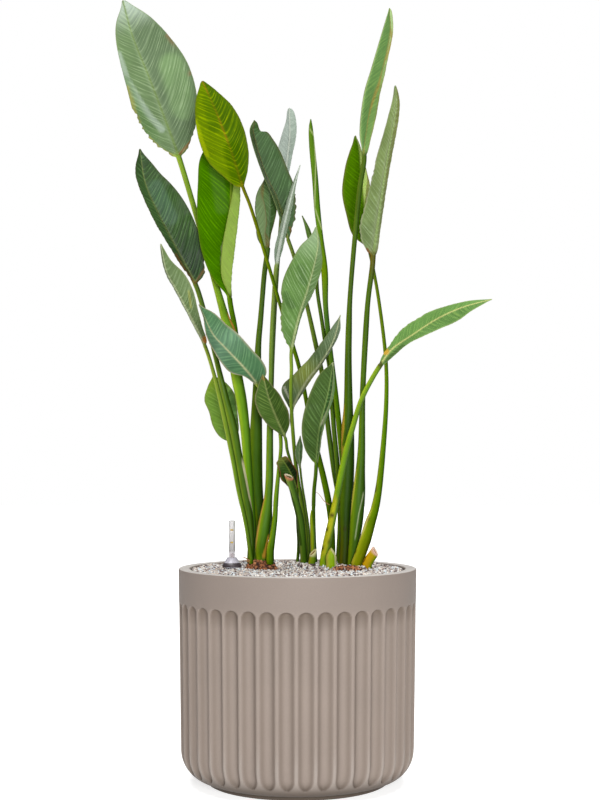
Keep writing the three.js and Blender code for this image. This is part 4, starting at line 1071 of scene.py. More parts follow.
def seam_lift(points, radius, seams):
    """How far the front stands out where the edge of a sheath laps over the stalk."""
    lift = np.zeros(points.shape[:2])
    centre = seen_from_front(points.mean(axis=1))
    columns = points.shape[1]
    share = np.linspace(-1, 1, columns)[None, :]
    for seam in seams:
        xs, zs = zip(*sorted(seam["path"], key=lambda place: place[1]))
        at = (np.interp(centre[:, 1], zs, xs) - centre[:, 0]) / np.maximum(radius, 1)
        at = np.arcsin(np.clip(at, -0.97, 0.97))[:, None] / (math.pi / 2)
        ends = smooth((centre[:, 1] - zs[0]) / 12) * smooth((zs[-1] - centre[:, 1]) / 12)
        away = (share - at) * seam["laps"]
        edge = smooth(away / 0.06) * np.exp(-np.maximum(away, 0) / 0.35)
        lift += seam["height"] * edge * ends[:, None]
    return lift


def skin_rings(points, frames, radius, sections, angle, seams, on_stalk=1):
    """Closed rings from front and rear sections, with one more ring below the foot. The edges of
    sheaths stand out on the stalk."""
    side, away = frames
    to_space = lambda section: (
        points[:, None] + side[:, None] * section[..., :1] + away[:, None] * section[..., 1:]
    )
    front, rear = sections
    if seams:
        lift = seam_lift(to_space(front), radius, seams) * on_stalk
        front = front + np.stack([np.sin(angle) * lift, -np.cos(angle) * lift], axis=-1)
    rings = np.concatenate([to_space(front), to_space(rear)[:, ::-1]], axis=1)
    return np.concatenate([rings[:1] - [0, 0, LEAF["sunk"]], rings])


def skin_facts(points, rings, angle):
    """Which way each point of a skin faces and where it is seen. The points after the rings are its
    closed ends."""
    columns = len(angle)
    turned_by = np.tile(np.concatenate([np.sin(angle), np.sin(angle)[::-1]]), rings)
    front = np.tile(np.arange(2 * columns) < columns, rings)
    extra = len(points) - len(turned_by)
    return {
        "turn": np.append(turned_by, np.zeros(extra)),
        "front": np.append(front, np.ones(extra, bool)),
        "seen": seen_from_front(points),
    }


def make_leaf_mesh(leaf, look, seed):
    """Stalk and blade of one leaf in one skin: points, faces, leaf_place and what paints it."""
    last_radius = leaf["stalk"][-1][3]
    places = [*leaf["stalk"], *[(*spot, last_radius) for spot in leaf["midrib"]]]
    samples, lengths, knots = make_route(leaf["root"], places)
    blade_from = knots[len(leaf["stalk"]) + 1]
    blade_length = lengths[-1] - blade_from
    stalk_at = np.linspace(0, blade_from, max(8, round(blade_from / STALK_STEP)), endpoint=False)
    count = max(24, round(blade_length / BLADE_STEP))
    even = np.arange(count) / count
    t = mix(even, (1 - np.cos(math.pi * even)) / 2, 0.5)
    t = t[t < 0.9985]
    at = np.concatenate([stalk_at, blade_from + t * blade_length])
    points, radius, along = along_route(samples, lengths, at)
    full_t = np.concatenate([np.zeros(len(stalk_at)), t])
    on_blade = np.arange(len(at)) >= len(stalk_at)
    radius = np.where(on_blade, mix(last_radius, LEAF["rib_tip"], full_t), radius)
    front, rear, angle = round_rings(radius)
    blade_front, blade_rear, blade_place = blade_rings(leaf, t, blade_length, seed)
    flat = smooth(t / LEAF["join"])[:, None, None]
    front[on_blade] = mix(front[on_blade], blade_front, flat)
    rear[on_blade] = mix(rear[on_blade], blade_rear, flat)
    rings = skin_rings(points, frames_at(points, along), radius, (front, rear), angle,
                       look.get("seams", []), ~on_blade[:, None])
    # leaf_place holds the distance across, the vein's number and the distance to the margin. On a
    # stalk the veins run along it, so the first two change places.
    stalk_across = (radius[:, None] * angle)[~on_blade]
    stalk_along = np.broadcast_to((stalk_at - blade_from)[:, None], stalk_across.shape)
    stalk_place = np.stack([stalk_along, 0.14 * stalk_across, np.zeros_like(stalk_across)], axis=-1)
    place = np.concatenate([stalk_place[:1], stalk_place, blade_place])
    place = np.concatenate([place, place[:, ::-1]], axis=1)
    foot = points[0] - [0, 0, LEAF["sunk"]]
    flat_points = np.vstack([rings.reshape(-1, 3), foot, samples[-1, :3]])
    flat_place = np.vstack([place.reshape(-1, 3), [-blade_from, 0, 0], place[-1, HALF_COLUMNS]])
    full_t = np.concatenate([[0], full_t])
    on_blade = np.concatenate([[False], on_blade])
    round_count = rings.shape[1]
    facts = skin_facts(flat_points, len(rings), angle)
    facts["t"] = np.append(np.repeat(full_t, round_count), [0, 1])
    facts["blade"] = np.append(np.repeat(on_blade, round_count), [False, True])
    facts["across"] = np.append(np.where(on_blade[:, None], place[..., 0], 0).ravel(), [0, 0])
    return flat_points, ring_faces(len(rings), round_count), flat_place, facts


# ---------------------------------------------------------------- leaf paint


def stroke_mask(seen, path, width):
    """1 on a line through the seen places, fading out over its width."""
    path = np.asarray(path, float)
    best = np.full(len(seen), 1e9)
    if len(path) == 1:
        best = np.linalg.norm(seen - path[0], axis=1)
    for a, b in zip(path, path[1:]):
        run = b - a
        share = np.clip(((seen - a) @ run) / (run @ run), 0, 1)[:, None]
        best = np.minimum(best, np.linalg.norm(seen - a - share * run, axis=1))
    return 1 - smooth((best / width - 0.5) / 0.5)


def blend(colours, colour, share):
    return colours + (linear(colour) - colours) * np.asarray(share)[:, None]


def paint_stalk(look, facts):
    """Colours down the stalk: each stop has a height and its left, middle and right colours, with
    painted light on the seen left side and painted shade on the right.
    """
    heights = [stop[0] for stop in look["stalk"]]
    height = facts["seen"][:, 1]
    parts = []
    for which in (1, 2, 3):
        values = np.array([linear(stop[which]) for stop in look["stalk"]])
        parts.append(np.stack([np.interp(height, heights, values[:, i]) for i in range(3)], axis=-1))
    turn = facts["turn"][:, None]
    left, middle, right = parts
    # Painted light towards the seen left side, painted shade towards the right.
    return np.where(turn < 0, mix(middle, left, smooth(-turn)), mix(middle, right, smooth(turn)))


def paint_lines(colours, look, facts):
    for row in [*look.get("lines", []), *look.get("seams", [])]:
        mask = stroke_mask(facts["seen"], row["path"], row["width"])
        colours = blend(colours, row["colour"], mask * facts["front"] * row["share"])
    return colours


def paint_blade(look, facts, place):
    across, margin = facts["across"], place[:, 2]
    t = facts["t"]
    left = np.broadcast_to(linear(look["left"]), (len(t), 3))
    colours = blend(left, look["right"], smooth((across + 2.5) / 5))
    for colour, centre, reach, share in look.get("bands", []):
        colours = blend(colours, colour, share * smooth(1 - np.abs(t - centre) / reach))
    for colour, side, reach, share in look.get("edges", []):
        inside = (np.sign(across) == side) * smooth(1 - margin / reach)
        colours = blend(colours, colour, share * inside)
    colours = np.where(facts["front"][:, None], colours, linear(look["back"]))
    if "halo" in look:
        colour, reach, share = look["halo"]
        colours = blend(colours, colour, share * np.exp(-((across / mix(reach, reach / 3, t)) ** 2)))
    rib_width = mix(look["rib_width"], 0.8, t)
    colours = blend(colours, look["rib"], 0.8 * np.exp(-((across / rib_width) ** 2)))
    return blend(colours, look["margin"], 0.7 * smooth(1 - margin / 2.2))


def paint_leaf(look, facts, place):
    stalk = paint_stalk(look, facts)
    blade = paint_blade(look, facts, place)
    share = (smooth(facts["t"] / LEAF["paint_join"]) * facts["blade"])[:, None]
    return paint_lines(mix(stalk, blade, share), look, facts)


# ---------------------------------------------------------------- materials


class Nodes:
    """Short forms for building a material's nodes."""

    def __init__(self, name):
        self.material = bpy.data.materials.new(name)
        self.material.use_nodes = True
        self.tree = self.material.node_tree
        self.shader = self.tree.nodes["Principled BSDF"]

    def add(self, kind, **settings):
        node = self.tree.nodes.new("ShaderNode" + kind)
        for key, value in settings.items():
            setattr(node, key, value)
        return node

    def link(self, source, target):
        self.tree.links.new(source, target)

    def math(self, operation, a, b=None):
        node = self.add("Math", operation=operation)
        for socket, value in zip(node.inputs, (a, b)):
            if value is None:
                continue
            if isinstance(value, (int, float)):
                socket.default_value = value
            else:
                self.link(value, socket)
        return node.outputs[0]

    def pair(self, a, b):
        node = self.add("CombineXYZ")
        self.link(a, node.inputs["X"])
        self.link(b, node.inputs["Y"])
        return node.outputs[0]

    def noise(self, vector, scale, detail=2.0, roughness=0.5):
        node = self.add("TexNoise")
        node.inputs["Scale"].default_value = scale
        node.inputs["Detail"].default_value = detail
        node.inputs["Roughness"].default_value = roughness
        self.link(vector, node.inputs["Vector"])
        return node.outputs["Fac"]

    def range(self, value, low, high, to_low, to_high):
        node = self.add("MapRange")
        self.link(value, node.inputs["Value"])
        for key, number in zip(("From Min", "From Max", "To Min", "To Max"), (low, high, to_low, to_high)):
            node.inputs[key].default_value = number
        return node.outputs["Result"]

    def scaled(self, colour, factor):
        """The colour times a factor."""
        node = self.add("VectorMath", operation="SCALE")
        self.link(colour, node.inputs[0])
        self.link(factor, node.inputs["Scale"])
        return node.outputs[0]

    def mixed(self, factor, a, b):
        node = self.add("Mix", data_type="RGBA")
        self.link(factor, node.inputs["Factor"])
        for socket, value in zip((node.inputs["A"], node.inputs["B"]), (a, b)):
            if isinstance(value, tuple):
                socket.default_value = (*value, 1)
            else:
                self.link(value, socket)
        return node.outputs["Result"]

    def bump(self, height, strength, distance):
        node = self.add("Bump")
        node.inputs["Strength"].default_value = strength
        node.inputs["Distance"].default_value = distance
        self.link(height, node.inputs["Height"])
        self.link(node.outputs["Normal"], self.shader.inputs["Normal"])

    def attribute(self, name, output="Vector"):
        return self.add("Attribute", attribute_name=name).outputs[output]

    def position(self):
        return self.add("TexCoord").outputs["Object"]

    def finish(self, colour, roughness):
        self.link(colour, self.shader.inputs["Base Color"])
        if isinstance(roughness, (int, float)):
            self.shader.inputs["Roughness"].default_value = roughness
        else:
            self.link(roughness, self.shader.inputs["Roughness"])
        return self.material


def leaf_material(name, vein, line, fold_shading, streak, gloss, shine):
    """Painted leaf: uneven pale side veins on low ridges, with painted light on the crests and painted
    shade in the hollows, finer streaks between the veins, cloudy colour.
    """
    nodes = Nodes(name)
    parts = nodes.add("SeparateXYZ")
    nodes.link(nodes.attribute("leaf_place"), parts.inputs[0])
    across, veins, margin = parts.outputs["X"], parts.outputs["Y"], parts.outputs["Z"]
    times = lambda a, b: nodes.math("MULTIPLY", a, b)
    stretched = lambda by_vein, by_across: nodes.pair(times(veins, by_vein), times(across, by_across))
    fine = nodes.noise(stretched(3.0, 0.03), 1.0, 3.0, 0.65)
    drift = nodes.noise(stretched(0.8, 0.012), 1.0, 1.0)
    strong = nodes.noise(stretched(0.9, 0.05), 1.7, 2.0)
    warped = nodes.math("ADD", veins, nodes.range(drift, 0.2, 0.8, -0.6, 0.6))
    crest = nodes.range(nodes.math("COSINE", times(warped, TAU)), -1, 1, 0, 1)
    cloud = nodes.noise(nodes.position(), 26.0, 3.0)
    patch = nodes.range(nodes.noise(nodes.position(), 34.0, 2.0), 0.36, 0.6, 0.4, 1)
    patch = times(patch, nodes.range(strong, 0.35, 0.6, 0.35, 1))
    patch = times(patch, nodes.range(margin, 0.5, 9.0, 0, 1))
    streaks = nodes.range(fine, 0.25, 0.75, 1 - streak, 1 + streak)
    # Painted light on the crests of the vein folds and painted shade in the hollows between them.
    light = nodes.math("ADD", streaks, times(nodes.range(crest, 0, 1, -fold_shading, fold_shading), patch))
    light = times(light, nodes.range(cloud, 0.3, 0.7, 0.9, 1.1))
    colour = nodes.scaled(nodes.attribute("paint", "Color"), light)
    thin = times(nodes.math("POWER", crest, 6.0), times(patch, line))
    colour = nodes.mixed(thin, colour, surface(vein))
    relief = nodes.math("ADD", times(fine, 0.5), times(crest, patch))
    nodes.bump(relief, 0.5, 0.0007)
    nodes.shader.inputs["Specular IOR Level"].default_value = shine
    return nodes.finish(colour, nodes.range(cloud, 0.3, 0.7, gloss - 0.06, gloss + 0.08))


def grain_material(name, roughness, speckle):
    """Painted grains, each with a finer speckle and a rough face."""
    nodes = Nodes(name)
    fine = nodes.noise(nodes.position(), 900.0, 3.0, 0.7)
    light = nodes.range(fine, 0.3, 0.7, 1 - speckle, 1 + speckle)
    colour = nodes.scaled(nodes.attribute("paint", "Color"), light)
    nodes.bump(fine, 0.4, 0.0004)
    return nodes.finish(colour, roughness)


def planter_material():
    """Matte moulded shell: painted taupe, a fine pale and dark fleck, and slightly uneven gloss."""
    nodes = Nodes("planter_taupe")
    position = nodes.position()
    fleck = nodes.range(nodes.noise(position, 520.0, 2.0, 0.7), 0.25, 0.75, 0.96, 1.04)
    cloud = nodes.noise(position, 9.0, 3.0)
    light = nodes.math("MULTIPLY", fleck, nodes.range(cloud, 0.3, 0.7, 0.97, 1.03))
    colour = nodes.scaled(nodes.attribute("paint", "Color"), light)
    nodes.bump(nodes.noise(position, 1400.0, 2.0), 0.08, 0.0002)
    nodes.shader.inputs["Specular IOR Level"].default_value = 0.1
    return nodes.finish(colour, nodes.range(cloud, 0.3, 0.7, 0.50, 0.58))


def clear_material(name, colour, roughness, cover=1.0):
    """Clouded plastic with faint flow marks, see-through where its cover is below 1."""
    nodes = Nodes(name)
    cloud = nodes.noise(nodes.position(), 60.0, 2.0)
    pale = linear(colour)
    base = nodes.mixed(cloud, tuple(pale), tuple(0.94 * pale))
    nodes.shader.inputs["Transmission Weight"].default_value = 0.15 if cover == 1.0 else 0.0
    nodes.shader.inputs["Alpha"].default_value = cover
    nodes.shader.inputs["IOR"].default_value = 1.3
    return nodes.finish(base, roughness)


def plastic_material(name, colour, roughness):
    nodes = Nodes(name)
    cloud = nodes.noise(nodes.position(), 200.0, 2.0)
    base = nodes.mixed(cloud, surface(colour), tuple(0.82 * part for part in surface(colour)))
    nodes.bump(cloud, 0.1, 0.0002)
    return nodes.finish(base, roughness)


def floor_material():
    """Pale paper on a light table, so that shadows on it stay faint."""
    nodes = Nodes("floor_paper")
    cloud = nodes.noise(nodes.position(), 2.0, 2.0)
    base = nodes.mixed(cloud, tuple(linear([188] * 3)), tuple(linear([192] * 3)))
    nodes.shader.inputs["Emission Color"].default_value = (1, 1, 1, 1)
    nodes.shader.inputs["Emission Strength"].default_value = 0.75
    return nodes.finish(base, 0.9)


# ---------------------------------------------------------------- planter


def flute_depth(angle, z):
    """Depth of the flutes at angles in degrees and a height: concave, with round ends."""
    pitch = 360 / FLUTE["count"]
    from_centre = (angle - FLUTE["first"]) / pitch
    across = np.abs(from_centre - np.round(from_centre)) * 2 / FLUTE["share"]
    into_top = (z - FLUTE["top"]) / FLUTE["top_end"] + 1
    into_bottom = (FLUTE["bottom"] - z) / FLUTE["bottom_end"] + 1
    into_end = min(max(into_top, into_bottom, 0), 1)
    width = math.sqrt(1 - into_end**2)
    if width < 0.01:
        return np.zeros_like(angle)
    inside = np.clip(1 - np.abs(across / width) ** 2, 0, 1)
    return FLUTE["depth"] * inside * width**0.5


def planter_profile():
    """Radius and height down the outside and inside: foot, rounded corner, wall, rim, inner wall."""
    p = PLANTER
    foot = p["foot_radius"]
    rows = [(foot - 3, 0), (foot, 1.5), (foot + 0.5, p["foot_height"] - 1)]
    wall = p["radius"] - p["taper"]
    for degrees in np.linspace(0, 90, 34):
        angle = math.radians(degrees)
        rows.append((wall - p["corner_across"] * (1 - math.sin(angle)),
                     p["foot_height"] + p["corner_up"] * (1 - math.cos(angle))))
    first = rows[-1][1]
    end_from = FLUTE["top"] - FLUTE["top_end"]
    heights = [*np.linspace(first, end_from, 12)[1:]]
    heights += [end_from + FLUTE["top_end"] * math.sin(turn) for turn in np.linspace(0, math.pi / 2, 18)[1:]]
    heights += [*np.linspace(FLUTE["top"] + 1.5, p["height"] - p["rim_round"], 6)]
    rim_low = heights[-1]
    rows += [(mix(wall, p["radius"], (z - first) / (rim_low - first)), z) for z in heights]
    for degrees in (15, 30, 45, 60, 75, 90):
        angle = math.radians(degrees)
        rows.append((p["radius"] - p["rim_round"] * (1 - math.cos(angle)),
                     p["height"] - p["rim_round"] * (1 - math.sin(angle))))
    inner = p["radius"] - p["rim_width"]
    rows += [(inner + 3, p["height"]), (inner + 1.2, p["height"] - 0.5), (inner, p["height"] - 2)]
    rows += [(inner - 0.2, p["height"] - 12), (p["inner_floor"], p["floor_top"])]
    return rows


def paint_planter(out, z, depth):
    """Taupe wall, with a painted highlight on the rim's top, painted shade on the flutes' walls and a
    painted shadow in their tops, a painted reflection on the edges low between the flutes, and painted
    shade below.
    """
    p = PLANTER
    count = len(depth)
    colours = np.broadcast_to(linear(PLANTER_COLOURS["wall"]), (count, 3))
    # The rim's top gets a painted highlight.
    top = smooth((z - p["height"] + 1.2) / 1.2) * np.ones(count)
    colours = blend(colours, PLANTER_COLOURS["rim"], top)
    colours = blend(colours, PLANTER_COLOURS["band"], smooth((z - FLUTE["top"] + 14) / 20) * (1 - top))
    # Painted shade on the flutes' walls, and a painted shadow in the tops of the flutes.
    share = np.clip(depth / FLUTE["depth"], 0, 1)
    colours = blend(colours, PLANTER_COLOURS["groove"], 0.4 * (4 * share * (1 - share)) ** 2)
    flute_top_shadow = 0.75 * smooth(share / 0.3) * smooth((z - FLUTE["top"] + 34) / 30)
    colours = blend(colours, PLANTER_COLOURS["groove"], flute_top_shadow)
    # A painted reflection of the floor on the edges low between the flutes.
    low_edge_reflection = 0.35 * smooth(1 - depth / 2) * smooth((110 - z) / 60) * smooth((z - 14) / 12)
    colours = blend(colours, PLANTER_COLOURS["low_edge_reflection"], low_edge_reflection)
    # Painted shade under the rounded corner and on the foot.
    under = smooth((44 - z) / 34) * np.ones(count) * (out > p["foot_radius"] - 4)
    return blend(colours, PLANTER_COLOURS["under"], under)


def make_planter():
    columns = FLUTE["count"] * FLUTE["columns"]
    angle = FLUTE["first"] + np.arange(columns) * 360 / columns
    turn = np.radians(angle - 90)
    rings, paint = [], []
    inner = PLANTER["radius"] - PLANTER["rim_width"]
    for out, z in planter_profile():
        fluted = out > PLANTER["foot_radius"] + 2 and z <= FLUTE["top"] and out > inner - 10
        depth = flute_depth(angle, z) if fluted else np.zeros(columns)
        r = out - depth
        rings.append(np.stack([r * np.cos(turn), r * np.sin(turn), np.full(columns, z)], axis=-1))
        paint.append(paint_planter(out, z, depth))
    points = np.vstack([*rings, [0, 0, 0], [0, 0, PLANTER["floor_top"]]])
    # The middle of the bottom gets the foot's painted shade.
    paint = np.vstack([*paint, linear(PLANTER_COLOURS["under"]), linear(PLANTER_COLOURS["wall"])])
    faces = ring_faces(len(rings), columns)
    make_piece("planter_shell", points, faces, planter_material(), ["planter"],
               paint=paint)


# ---------------------------------------------------------------- granulate and root ball

GRAIN_COLOURS = [
    ((246, 243, 238), 6), ((222, 232, 238), 4), ((206, 194, 184), 4), ((170, 154, 146), 4),
    ((120, 100, 98), 3), ((86, 68, 70), 3), ((232, 216, 200), 4), ((184, 174, 172), 3),
]
CRUMB_COLOURS = [
    ((172, 108, 66), 5), ((198, 134, 88), 3), ((140, 84, 50), 4), ((96, 54, 34), 4), ((62, 36, 26), 3),
]


def ico_grain():
    """A small faceted lump to be scattered: the points and faces of a unit icosahedron."""
    g = (1 + math.sqrt(5)) / 2
    points = [(-1, g, 0), (1, g, 0), (-1, -g, 0), (1, -g, 0), (0, -1, g), (0, 1, g),
              (0, -1, -g), (0, 1, -g), (g, 0, -1), (g, 0, 1), (-g, 0, -1), (-g, 0, 1)]
    faces = [(0, 11, 5), (0, 5, 1), (0, 1, 7), (0, 7, 10), (0, 10, 11), (1, 5, 9), (5, 11, 4),
             (11, 10, 2), (10, 7, 6), (7, 1, 8), (3, 9, 4), (3, 4, 2), (3, 2, 6), (3, 6, 8),
             (3, 8, 9), (4, 9, 5), (2, 4, 11), (6, 2, 10), (8, 6, 7), (9, 8, 1)]
    return unit(np.array(points, float)), np.array(faces)


def scatter_grains(places, sizes, palette, rng):
    """Lumps of the given sizes at the places: points, faces and colours."""
    ball, ball_faces = ico_grain()
    count = len(places)
    turns = rng.normal(size=(count, 3, 3))
    turns, _ = np.linalg.qr(turns)
    stretch = rng.uniform(0.72, 1.25, size=(count, 1, 3))
    jitter = rng.uniform(0.8, 1.2, size=(count, len(ball), 1))
    lumps = (ball[None] * jitter * stretch) @ turns
    points = places[:, None] + lumps * (sizes / 2)[:, None, None]
    faces = ball_faces[None] + (np.arange(count) * len(ball))[:, None, None]
    flipped = np.linalg.det(turns) < 0
    faces[flipped] = faces[flipped][:, :, ::-1]
    weights = np.array([weight for _, weight in palette], float)
    picks = rng.choice(len(palette), size=count, p=weights / weights.sum())
    colours = np.array([linear(colour) for colour, _ in palette])[picks]
    colours = colours * rng.uniform(0.98, 1.3, size=(count, 1))
    return points.reshape(-1, 3), faces.reshape(-1, 3), np.repeat(colours, len(ball), axis=0)


def even_spots(radius, spacing, rng):
    """Places spread evenly over a disc, each shifted a little."""
    count = int(math.pi * radius**2 / spacing**2)
    turn = np.arange(count) * math.pi * (3 - math.sqrt(5))
    out = radius * np.sqrt((np.arange(count) + 0.5) / count)
    spots = np.stack([out * np.cos(turn), out * np.sin(turn)], axis=-1)
    return spots + rng.normal(scale=spacing * 0.28, size=spots.shape)


def crown_share(spots, crown):
    """0 at a crown's middle, 1 at its outline."""
    return np.hypot(*((spots - crown["centre"]) / crown["half"]).T)


def fill_height(spots):
    """Height of the granulate: nearly level, banked up against the crowns."""
    height = np.full(len(spots), FILL["top"] - 1.6)
    for crown in CROWNS[1:]:
        share = crown_share(spots, crown)
        height = np.maximum(height, mix(FILL["top"] - 1.6, crown["top"] + 0.5, smooth((1.12 - share) / 0.4)))
    height += 1.2 * np.sin(spots[:, 0] / 19) * np.cos(spots[:, 1] / 23)
    return height + 1.8 * smooth((np.hypot(*spots.T) - 165) / 20)


def make_granulate(rng):
    radius = FILL["radius"]
    spots = even_spots(radius - 2, FILL["spacing"], rng)
    spots = spots[np.hypot(*spots.T) < radius - 2.2]
    left = CROWNS[0]
    gauge = np.hypot(spots[:, 0] - GAUGE["place"][0], spots[:, 1] - GAUGE["place"][1])
    keep = (crown_share(spots, left) > 0.97) & (gauge > GAUGE["collar"] - 1)
    spots = spots[keep]
    gauge = gauge[keep]
    sizes = rng.uniform(*FILL["grain"], size=len(spots))
    height = fill_height(spots) + rng.uniform(-0.9, 1.1, size=len(spots))
    height = np.where(gauge < GAUGE["collar"] + 6, np.minimum(height, FILL["top"] - 1.2), height)
    places = np.column_stack([spots, height - 0.3 * sizes])
    points, faces, colours = scatter_grains(places, sizes, GRAIN_COLOURS, rng)
    sides = 72
    turn = TAU * np.arange(sides) / sides
    bed = []
    low = PLANTER["floor_top"] + 0.5
    for r, z in ((FILL["edge_radius"] - 2, low), (FILL["edge_radius"], FILL["edge_top"])):
        bed.append(np.column_stack([r * np.cos(turn), r * np.sin(turn), np.full(sides, z)]))
    for r in np.linspace(radius - 4, 4, 40):
        ring = np.column_stack([r * np.cos(turn), r * np.sin(turn)])
        bed.append(np.column_stack([ring, fill_height(ring) - 3.4]))
    bed_points = np.vstack([*bed, [0, 0, low], [0, 0, FILL["top"] - 5]])
    bed_faces = ring_faces(len(bed), sides)
    offset = len(bed_points)
    all_faces = [*bed_faces, *(faces + offset).tolist()]
    paint = np.vstack([np.broadcast_to(linear(FILL["bed_colour"]), (offset, 3)), colours])
    make_piece("granulate_grains", np.vstack([bed_points, points]), all_faces,
               grain_material("granulate_mineral", 0.75, 0.22), ["granulate"],
               paint=paint, flat=True)


def mound_height(share, crown):
    low = FILL["top"] - 4
    return mix(low, crown["top"] - 1.5, smooth((1.02 - share) / 0.5))


def twig(start, end, radius):
    """A thin crooked stick of six sides that tapers towards its start."""
    along = unit(end - start)
    side = unit(np.cross(along, [0.0, 1.0, 0.0]))
    back = np.cross(along, side)
    rings = []
    for share in np.linspace(0, 1, 6):
        centre = mix(start, end, share) + side * 1.2 * math.sin(7 * share)
        turn = TAU * np.arange(6) / 6
        r = radius * mix(0.35, 1, share)
        rings.append(centre + r * (np.cos(turn)[:, None] * side + np.sin(turn)[:, None] * back))
    return np.vstack([*rings, rings[0].mean(axis=0), rings[-1].mean(axis=0)])


def make_root_ball(rng):
    """A core for each crown, loose brown crumbs on the left one and over the front of the right one,
    and the twigs."""
    points, faces, colours = [], [], []
    offset = 0
    sides = 40
    turn = TAU * np.arange(sides) / sides
    for index, crown in enumerate(CROWNS):
        rings = []
        for share in (1.02, 1.0, 0.9, 0.8, 0.7, 0.55, 0.4, 0.2):
            ring = np.column_stack([crown["centre"][0] + share * crown["half"][0] * np.cos(turn),
                                    crown["centre"][1] + share * crown["half"][1] * np.sin(turn)])
            z = CROWN_LOW if share > 1.01 else mound_height(share, crown) - (1.5 if index == 0 else 5)
            rings.append(np.column_stack([ring, np.full(sides, z)]))
        core = np.vstack([*rings, [*crown["centre"], CROWN_LOW], [*crown["centre"], crown["top"] - 3]])
        points.append(core)
        faces += [tuple(i + offset for i in face) for face in ring_faces(len(rings), sides)]
        colours.append(np.broadcast_to(linear(CROWN_COLOUR), (len(core), 3)))
        offset += len(core)
    left = CROWNS[0]
    spots = even_spots(max(left["half"]) + 3, 3.3, rng) + left["centre"]
    share = crown_share(spots, left)
    spots, share = spots[share < 1.06], share[share < 1.06]
    heights = mound_height(share, left) - 1 + rng.uniform(-1.2, 1.2, size=len(spots))
    crumbs = np.column_stack([spots, heights])
    patch = even_spots(CRUMB_PATCH["radius"], CRUMB_PATCH["spacing"], rng) + CRUMB_PATCH["centre"]
    patch = patch[crown_share(patch, CRUMB_PATCH) < 1]
    patch_z = fill_height(patch) + rng.uniform(-0.4, 1.6, size=len(patch))
    crumbs = np.vstack([crumbs, np.column_stack([patch, patch_z])])
    sizes = rng.uniform(2.6, 6.2, size=len(crumbs))
    lumps, lump_faces, lump_colours = scatter_grains(crumbs, sizes, CRUMB_COLOURS, rng)
    points.append(lumps)
    faces += (lump_faces + offset).tolist()
    colours.append(lump_colours)
    offset += len(lumps)
    for start, end, radius in TWIGS:
        stick = twig(np.array(start, float), np.array(end, float), radius)
        points.append(stick)
        faces += [tuple(i + offset for i in face) for face in ring_faces(len(stick) // 6, 6)]
        colours.append(np.broadcast_to(linear(TWIG_COLOUR), (len(stick), 3)))
        offset += len(stick)
    make_piece("root_ball_crumbs", np.vstack(points), faces, grain_material("root_ball_crumb", 0.9, 0.3),
               ["root_ball"], paint=np.vstack(colours), flat=True)


# ---------------------------------------------------------------- water level gauge


def turned(profile, sides=48):
    """The rings of a profile turned round the gauge's axis."""
    turn = TAU * np.arange(sides) / sides
    x, y = GAUGE["place"]
    ring = lambda r, z: np.column_stack([x + r * np.cos(turn), y + r * np.sin(turn), np.full(sides, z)])
    return [ring(r, z) for r, z in profile]


def closed_lathe(profile, sides=48):
    """Points and faces of a profile that closes on itself, turned round the gauge's axis."""
    points = np.vstack(turned(profile, sides))
    count = len(profile)
    faces = []
    for k in range(count):
        for i in range(sides):
            after = (i + 1) % sides
            a, b = k * sides, ((k + 1) % count) * sides
            faces.append((a + i, a + after, b + after, b + i))
    return points, faces


def rod_lathe(profile, sides=32):
    """Points and faces of a solid turned body whose ends close on the axis."""
    rings = turned(profile, sides)
    x, y = GAUGE["place"]
    points = np.vstack([*rings, [x, y, profile[0][1]], [x, y, profile[-1][1]]])
    return points, ring_faces(len(rings), sides)


def front_patch(radius, low, height, reach):
    """A thin printed mark on the front of the tube: from its low edge up, reaching to both sides."""
    x, y = GAUGE["place"]
    angle = np.linspace(-reach * math.pi, reach * math.pi, 9) - math.pi / 2
    rows = []
    for r, z in ((radius, low), (radius + 0.25, low), (radius + 0.25, low + height), (radius, low + height)):
        rows.append(np.column_stack([x + r * np.cos(angle), y + r * np.sin(angle), np.full(len(angle), z)]))
    count = len(angle)
    faces = []
    for k in range(4):
        a, b = k * count, ((k + 1) % 4) * count
        faces += [(a + i, a + i + 1, b + i + 1, b + i) for i in range(count - 1)]
    faces += [(0, count, 2 * count, 3 * count), (4 * count - 1, 3 * count - 1, 2 * count - 1, count - 1)]
    return np.vstack(rows), faces


def make_tube():
    """The sight tube with its marks: clouded above the float's head and clearer from there down."""
    g = GAUGE
    low = PLANTER["floor_top"] + g["gap"]
    roof = g["top"] - 2
    window = g["head_top"] + 3
    profile = [(g["tube"], low), (g["tube"], window), (g["bore"], window), (g["bore"], low)]
    points, faces = closed_lathe(profile)
    glass = clear_material("gauge_window_plastic", (222, 216, 220), 0.1, 0.45)
    make_piece("gauge_sight_window", points, faces, glass, ["gauge_tube"])
    profile = [
        (g["tube"], window), (g["tube"], g["top"] - 1.6), (g["tube"] - 0.5, g["top"] - 0.5),
        (g["tube"] - 1.6, g["top"]), (0.3, g["top"]), (0.3, roof), (g["bore"] - 0.6, roof),
        (g["bore"], roof - 0.8), (g["bore"], window),
    ]
    points, faces = closed_lathe(profile)
    clear = clear_material("gauge_clear_plastic", (216, 214, 214), 0.12)
    make_piece("gauge_sight_tube", points, faces, clear)
    yellow = plastic_material("gauge_mark", (236, 196, 80), 0.5)
    for index, z in enumerate(g["marks"]):
        points, faces = front_patch(g["tube"] + 0.02, z, g["mark_height"], g["mark_reach"])
        make_piece(f"gauge_mark_{index}", points, faces, yellow)


